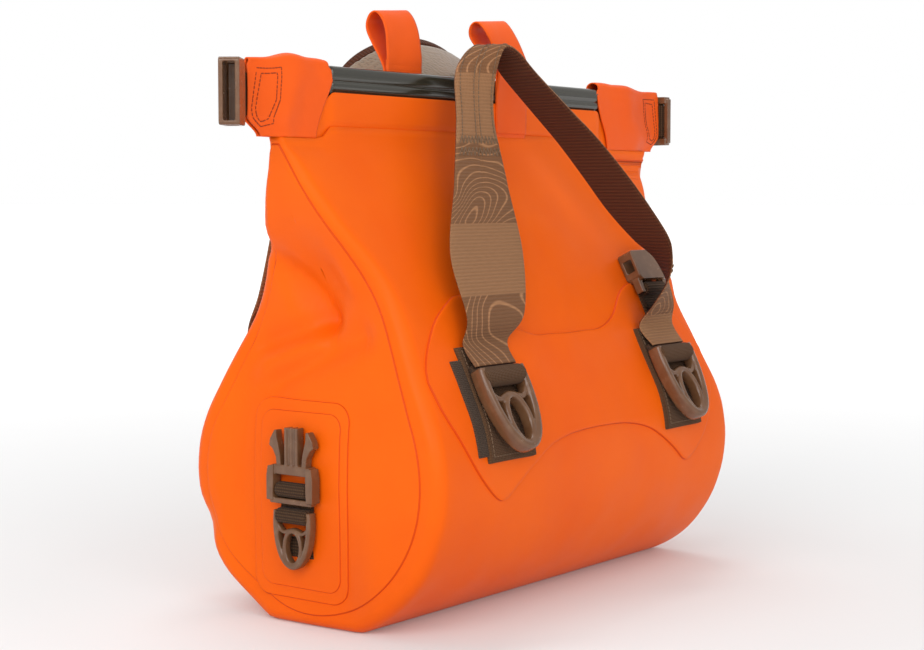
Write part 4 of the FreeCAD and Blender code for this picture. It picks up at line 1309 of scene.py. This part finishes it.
def build_handle():
    y, z = foot_of("front_anchor_left", -1)
    roll = centre_of("front_roll_left") / MM
    stations = [
        ((-102, roll.y + 3, roll.z + 6.5), (1, 0, 0), 21), ((-98, y - 3.6, z + 1), (1, 0, 0), 23),
        ((-88, -77, 190), (1, 0, 0), 30),
        ((-77, -62, 228), (1, 0, 0), 38), ((-62, -46, 272), (1, 0, 0), 28),
        ((-52, -34, 310), (1, -0.1, 0), 18), ((-45, -28, 336), (1, -0.3, 0), 16),
        ((-38, -27, 351), (0.8, -0.8, 0), 13), ((-28, -28, 360), (0.3, -1, 0), 11.5),
        ((-15, -30, 356), (0, -1, 0), 12.5), ((-3, -34, 343), (0, -1, 0), 14),
        ((21, -42, 321), (0, -1, 0), 15.5), ((42, -51, 300), (0, -1, 0), 17),
        ((58, -63, 276), (0, -1, 0), 18), ((72, -73, 254), (0, -1, 0), 18),
        ((86, -82, 234), (-0.2, -1, 0), 17), ((95, -87, 220), (-0.6, -0.8, 0), 15),
        ((100, -87, 204), (-0.85, -0.5, 0), 18), ((103, -82, 188), (-1, -0.2, 0), 21),
        ((103, y - 3.6, z + 1), (-1, 0, 0), 22), ((102, roll.y + 3, roll.z + 6.5), (-1, 0, 0), 20.5)]

    def folded(t):
        return smooth(0.16, 0.24, t) * smooth(0.86, 0.80, t)

    def thickness(t):
        return mix(1.9, 3.6, folded(t)) * MM

    def relief(t, v):
        groove = hump(v, 0, 0.05) * 0.7 * folded(t)
        ribs = 0.0
        if t > 0.86:
            ribs = 0.35 * (0.5 + 0.5 * math.cos(v * 26)) * smooth(0.86, 0.90, t) * smooth(0.97, 0.93, t)
        return (ribs - groove) * MM
    steps = 300
    piece = strap("front_handle_webbing", stations, JACQUARD, steps, 40, thickness, relief, UNDERSIDE)
    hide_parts("front_handle")
    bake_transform(piece)
    run = smooth_stations(stations, steps)

    def spot(t, v, lift):
        k = min(int(t * steps), steps - 1)
        centre, across, half = run[k]
        normal = across.cross(run[k + 1][0] - centre).normalized()
        return centre + across * (half * v) + normal * (lift + thickness(t) / 2)
    seams = []
    for low_t, high_t in ((0.235, 0.42), (0.52, 0.80)):
        count = int((high_t - low_t) * steps)
        for v in (-0.80, 0.80, -0.12, 0.12):
            seams += stitch_line([spot(mix(low_t, high_t, k / count), v, 0.15 * MM)
                                  for k in range(count + 1)], 3.0 * MM)
    for low_t in (0.222, 0.232, 0.815, 0.825):
        zigzag = [spot(low_t + (0.007 if k % 2 else 0.0), mix(-0.9, 0.9, k / 22), 0.2 * MM)
                  for k in range(23)]
        seams += list(zip(zigzag, zigzag[1:]))
    stitches = capsules("handle_stitches", seams, STITCH_BROWN, 0.34 * MM)
    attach(stitches, "handle")


def build_shoulder():
    y, z = foot_of("rear_anchor_right", 1)
    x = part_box("rear_anchor_right")[0].x / MM + 22.5
    roll = centre_of("rear_roll_right") / MM
    legs = [((x, roll.y - 3, roll.z + 6.5), (1, 0, 0), 20.5), ((x, y + 3.4, z + 1), (1, 0, 0), 22.5),
            ((x - 1, 84, 178), (1, 0, 0), 23), ((x - 4, 80, 200), (1, 0, 0), 20),
            ((x - 10, 74, 232), (1, 0.2, 0), 19), ((x - 19, 61, 278), (0.6, 0.8, 0), 20),
            ((x - 30, 46, 313), (0.15, 1, 0), 20), ((x - 34, 42.7, 326), (0.03, 1, 0.15), 18)]
    for word, side in (("right", 1), ("left", -1)):
        stations = [((side * c[0], c[1], c[2]), (w[0], side * w[1], 0), half) for c, w, half in legs]
        piece = strap("shoulder_webbing_" + word, stations, JACQUARD, 120, 24, 2.1 * MM, back=UNDERSIDE)
        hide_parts("shoulder_strap_" + word)
        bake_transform(piece)
    arch = [((x - 33, 43, 323), 24, 0.15), ((62, 40, 341), 26, 0.42), ((34, 38, 350), 27, 0.60),
            ((0, 37, 353.5), 27, 0.66)]
    arch = arch + [((-c[0], c[1], c[2]), half, tip) for c, half, tip in reversed(arch[:-1])]
    core = [(c, (0, math.cos(tip), math.sin(tip)), half - 3.5) for c, half, tip in arch]
    pad = strap("shoulder_pad_core", core, PAD, 60, 14, 6.5 * MM)
    inflate(pad)
    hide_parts("shoulder_pad")
    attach(pad, "shoulder")
    for word, edge in (("front", -1), ("rear", 1)):
        line = []
        for c, half, tip in arch:
            along = Vector((0, math.cos(tip), math.sin(tip)))
            spot = Vector(c) + along * (edge * (half - 2.5))
            line.append((tuple(spot), tuple(along * edge), 3.6))
        binding = strap("pad_binding_" + word, line, UNDERSIDE, 90, 10, 5.5 * MM)
        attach(binding, "shoulder")


def inflate(obj):
    """Remesh a pad and fill it by cloth simulation, within a few millimetres of its core."""
    remesh = obj.modifiers.new("Remesh", "REMESH")
    remesh.mode = "VOXEL"
    remesh.voxel_size = 3.0 * MM
    apply_modifiers(obj)
    start = [v.co.copy() for v in obj.data.vertices]
    cloth = obj.modifiers.new("Fill", "CLOTH")
    cloth.settings.use_pressure = True
    cloth.settings.uniform_pressure_force = 3.0
    cloth.settings.effector_weights.gravity = 0.0
    cloth.settings.quality = 5
    scene = bpy.context.scene
    for step in range(1, 19):
        scene.frame_set(step)
    apply_modifiers(obj)
    scene.frame_set(1)
    limit = 2.2 * MM
    for v, from_co in zip(obj.data.vertices, start):
        move = v.co - from_co
        if move.length > limit:
            v.co = from_co + move * (limit / move.length)
    sub = obj.modifiers.new("Smooth", "SUBSURF")
    sub.levels = 1
    sub.render_levels = 1
    apply_modifiers(obj)
    obj.data.polygons.foreach_set("use_smooth", [True] * len(obj.data.polygons))


build_handle()
build_shoulder()


def build_rails():
    """Glossy extruded rails: a round upper lip, a dark groove and a thin lower lip."""
    for word, side, body in (("front", -1, "front_seal"), ("rear", 1, "closure")):
        node = "seal_rail_" + word
        low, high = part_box(node)
        inner = min(abs(low.y), abs(high.y)) / MM
        out = max(abs(low.y), abs(high.y)) / MM
        z0, z1 = low.z / MM, high.z / MM
        profile = [(inner, z1 - 1.5), (inner + 0.5, z1 - 0.5), (inner + 1.4, z1), (out - 2.4, z1 - 0.1)]
        profile += [(out - 1.2, z1 - 0.9), (out - 0.4, z1 - 2.4), (out, z1 - 4.2), (out, z1 - 7.0)]
        profile += [(out - 0.15, z1 - 8.6), (out - 0.9, z1 - 9.1), (out - 1.0, z1 - 9.7)]
        profile += [(out - 0.25, z1 - 10.2), (out, z1 - 11.2), (out, z0 + 6.0), (out - 0.3, z0 + 4.6)]
        profile += [(out - 1.2, z0 + 4.2), (out - 1.6, z0 + 3.4), (out - 1.7, z0), (inner, z0)]
        columns = 160
        verts = []
        for j in range(columns + 1):
            x = mix(low.x, high.x, j / columns)
            sag = noise.noise(Vector((x * 9, 3.0, 0.0))) * 0.5 * MM
            for y, z in profile:
                verts.append(Vector((x, side * y * MM, z * MM + sag * 0.5)))
        obj = new_object(node + "_extrusion", verts, tube_faces(columns + 1, len(profile)), SEAL)
        recalc_normals(obj)
        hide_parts(node)
        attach(obj, body)


build_rails()


# ------------------------------------------------------------------ camera, light and floor

def camera():
    azimuth, elevation, distance = math.radians(-52.8), math.radians(4.0), 1.210
    target = vec(-21.5, 0, 176.7)
    back = Vector((math.sin(azimuth) * math.cos(elevation), -math.cos(azimuth) * math.cos(elevation),
                   math.sin(elevation)))
    data = bpy.data.cameras.new("camera")
    data.sensor_width = 36.0
    data.lens = 70.12987
    data.clip_start = 0.05
    obj = bpy.data.objects.new("camera", data)
    bpy.context.scene.collection.objects.link(obj)
    obj.location = target + back * distance
    obj.rotation_euler = (-back).to_track_quat("-Z", "Y").to_euler()
    bpy.context.scene.camera = obj


def area_light(name, location, target, size, energy):
    data = bpy.data.lights.new(name, "AREA")
    data.shape = "RECTANGLE"
    data.size, data.size_y = size
    data.energy = energy
    obj = bpy.data.objects.new(name, data)
    bpy.context.scene.collection.objects.link(obj)
    obj.location = location
    obj.rotation_euler = (Vector(target) - Vector(location)).to_track_quat("-Z", "Y").to_euler()


def studio():
    world = bpy.data.worlds.new("studio")
    world.use_nodes = True
    tree = world.node_tree
    background = tree.nodes["Background"]
    background.inputs["Color"].default_value = (1.0, 1.0, 1.0, 1)
    direction = tree.nodes.new("ShaderNodeTexCoord")
    turned = tree.nodes.new("ShaderNodeMapping")
    turned.inputs["Rotation"].default_value = (0, 0, math.radians(-37))
    split = tree.nodes.new("ShaderNodeSeparateXYZ")
    tree.links.new(direction.outputs["Generated"], turned.inputs["Vector"])
    tree.links.new(turned.outputs["Vector"], split.inputs["Vector"])
    map_range(tree, split.outputs["X"], background.inputs["Strength"], 0.55, 0.92, 0.62, 1.0)
    bpy.context.scene.world = world
    area_light("key", (-1.9, -0.5, 1.2), (0, 0, 0.15), (1.2, 1.2), 17)
    area_light("fill", (-1.2, -1.8, 1.1), (0, 0, 0.2), (1.6, 1.2), 14)
    area_light("top", (0.2, 0.4, 1.9), (0, 0, 0.3), (1.4, 0.5), 10)
    reach = 60.0
    floor = new_object("floor", [(-reach, -reach, 0), (reach, -reach, 0), (reach, reach, 0),
                                 (-reach, reach, 0)], [(0, 1, 2, 3)], None)
    paper = Shader("pale_floor", (0.72, 0.72, 0.72), 0.9, 0.1)
    paper.bsdf.inputs["Emission Color"].default_value = (1, 1, 1, 1)
    spot = paper.node("ShaderNodeTexCoord")
    away = paper.node("ShaderNodeVectorMath", operation="LENGTH")
    paper.link(spot.outputs["Object"], away.inputs[0])
    map_range(paper.tree, away.outputs["Value"], paper.bsdf.inputs["Emission Strength"],
              0.3, 2.4, 0.10, 0.72)
    paper.bump(paper.noise(80.0, 2.0), 0.0002, 0.1)
    floor.data.materials.append(paper.material)
    bpy.context.scene.view_settings.view_transform = "Standard"


camera()
studio()
